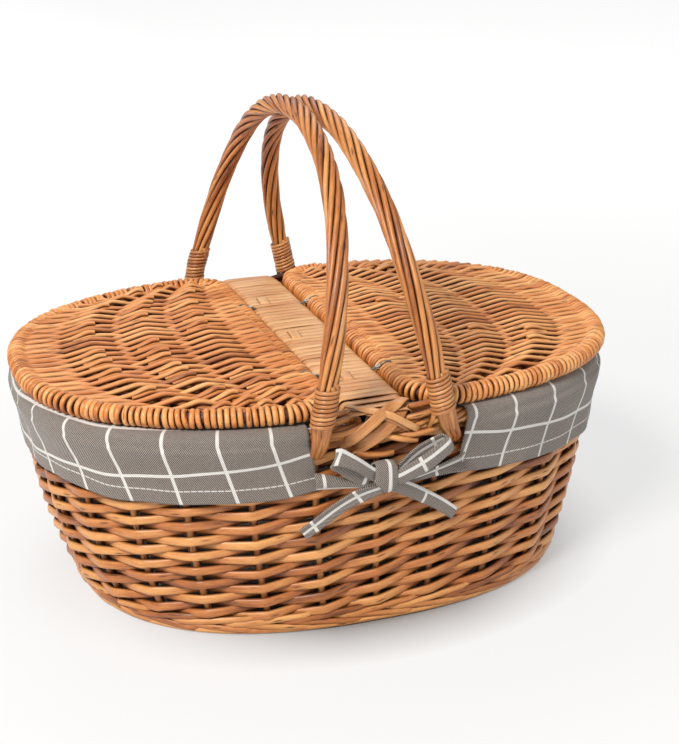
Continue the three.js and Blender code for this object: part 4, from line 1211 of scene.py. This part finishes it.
def knot(side, node):
    """A tie wound once round the middle of the bow."""
    count, columns = 36, 11
    left = np.array([(98.8, -1.6), (100, -3), (103.6, -6), (107.5, -9.6), (110, -8.8),
                     (117.2, -8.2), (118.2, -7.4)])
    right = np.array([(98.8, 1.6), (100, 3.4), (104, 6.0), (108, 6.8), (116, 6.2), (118.2, 5.0)])
    t = np.linspace(0, 1, columns)
    round_off = 1 - 0.22 * np.abs(2 * t - 1) ** 3
    crease = 0.35 * np.sin(t * 11 + 1.0)
    grid = np.zeros((count, columns, 3))
    for k, angle in enumerate(2 * np.pi * np.arange(count) / count):
        z = knot_z + knot_half_height * signed_power(math.sin(angle), 0.7)
        y = knot_y - ((knot_half_depth + crease) * signed_power(math.cos(angle), 0.55)
                      * round_off)
        x0, x1 = np.interp(z, *left.T), np.interp(z, *right.T)
        grid[k] = np.column_stack([x0 + (x1 - x0) * t, y,
                                   knot_z + (z - knot_z) * round_off ** 0.3])
    length = distance(np.vstack([grid[:, 5], grid[:1, 5]]))
    u = np.abs(length[:-1] - length[count // 2]) + check * 0.1
    place = np.stack([np.repeat(u[:, None], columns, 1), grid[..., 0] - 0.8], -1)
    cloth_piece(node, grid * [1, -side, 1], place, knot_thickness,
                "folded", closed=True)


# Stage, camera and light

def studio_white():
    """White paper with a painted glow that is brighter far from the basket, and a painted shadow
    where it meets the foot.
    """
    g = Graph("studio_white")
    place = g.node("NewGeometry").outputs["Position"]
    x = g.split(place)[0]
    # Its painted glow rises with the distance from the middle, in metres, and falls to the right
    # in a broad painted shadow
    glow = g.range(g.length(place), 0.3, 1.3, 0.66, 0.86)
    glow = g.math("MULTIPLY", glow, g.range(x, 0.1, 0.45, 1.0, 0.94))
    # The painted contact shadow starts at the foot's outline, is gone at 1.34 times its size and
    # is deepest at the basket's middle
    to_foot = (1 / base_half_length / MM, 1 / base_half_width / MM, 0.0)
    contact = g.math("POWER", g.range(g.length(g.scaled(place, to_foot)), 1.0, 1.34), 0.7)
    amount = g.math("MULTIPLY", g.range(x, -0.17, -0.03, 0.1, 1.0),
                    g.range(x, 0.06, 0.19, 1.0, 0.35))
    painted_contact_shadow = g.math("MULTIPLY", amount, g.math("SUBTRACT", 1.0, contact))
    glow = g.math("MULTIPLY", glow, g.math("SUBTRACT", 1.0, painted_contact_shadow))
    return g.finished({"Base Color": (0.25, 0.25, 0.25), "Roughness": 0.7,
                       "Emission Color": (1.0, 1.0, 1.0), "Emission Strength": glow})


def stage():
    floor = bpy.data.meshes.new("floor")
    size = 6.0
    floor.from_pydata([(-size, -size, 0), (size, -size, 0), (size, size, 0), (-size, size, 0)],
                      [], [(0, 1, 2, 3)])
    obj = bpy.data.objects.new("floor", floor)
    bpy.context.scene.collection.objects.link(obj)
    floor.materials.append(studio_white())
    world = bpy.data.worlds.new("studio")
    bpy.context.scene.world = world
    world.use_nodes = True
    background = world.node_tree.nodes["Background"]
    background.inputs[0].default_value = (1.0, 1.0, 1.0, 1.0)
    background.inputs[1].default_value = 0.38
    lights = (("key", (-1.32, -1.08, 1.9), 0.7, 57.0, (1.0, 0.97, 0.93)),
              ("fill", (1.6, -1.2, 1.1), 1.5, 5.0, (1.0, 1.0, 1.0)),
              ("back", (0.4, 1.8, 1.8), 1.5, 12.0, (1.0, 1.0, 1.0)))
    for name, at, wide, power, colour in lights:
        light = bpy.data.lights.new(name, "AREA")
        light.size = wide
        light.energy = power
        light.color = colour
        lamp = bpy.data.objects.new(name, light)
        bpy.context.scene.collection.objects.link(lamp)
        aim = Vector((0, 0, 0.12)) - Vector(at)
        turn = aim.to_track_quat("-Z", "Y").to_matrix().to_4x4()
        lamp.matrix_world = Matrix.Translation(at) @ turn


def camera():
    """The photograph's own viewpoint, solved from the basket's lids, hoops and base."""
    place = Vector((-314.73, -1009.12, 509.84)) * MM
    turn, tilt, roll = 18.61, 20.21, -0.788
    focal_pixels, long_side, sensor = 1593.09, 744, 36.0
    data = bpy.data.cameras.new("camera")
    data.sensor_width = sensor
    data.lens = focal_pixels * sensor / long_side
    data.clip_start = 0.05
    obj = bpy.data.objects.new("camera", data)
    bpy.context.scene.collection.objects.link(obj)
    obj.matrix_world = Matrix.Translation(place)
    for angle, axis in ((-turn, "Z"), (90 - tilt, "X"), (roll, "Z")):
        obj.matrix_world = obj.matrix_world @ Matrix.Rotation(math.radians(angle), 4, axis)
    bpy.context.scene.camera = obj


camera()
stage()
bpy.context.scene.view_settings.view_transform = "Standard"
wall_weave()
wall_stakes()
upsett()
base()
rim()
bridge()
liner()
for end, end_name in end_names.items():
    lid = Lid(end)
    lid.panel()
    lid.frame()
    handle(end, f"handle_{end_name}")
    cuff(end, f"cuff_{end_name}")
    for side, side_name in side_names.items():
        binding(end, side, f"handle_{end_name}")
        bridge_splint(end, side, f"bridge_splint_{side_name}_{end_name}")
        hinge_tie(end, hinge_tie_y[side], f"hinge_tie_{side_name}_{end_name}")
for side, side_name in side_names.items():
    knot(side, f"bow_knot_{side_name}")
    for end, end_name in end_names.items():
        for kind, ties, held, under in (
                ("tie_strap", straps, "stretched", "wall_weave"),
                ("bow_loop", loops, "folded", f"bow_knot_{side_name}_cloth"),
                ("bow_tail", tails, "hung", f"bow_knot_{side_name}_cloth")):
            ribbon(f"{kind}_{side_name}_{end_name}", side, *ties[end], held, under)
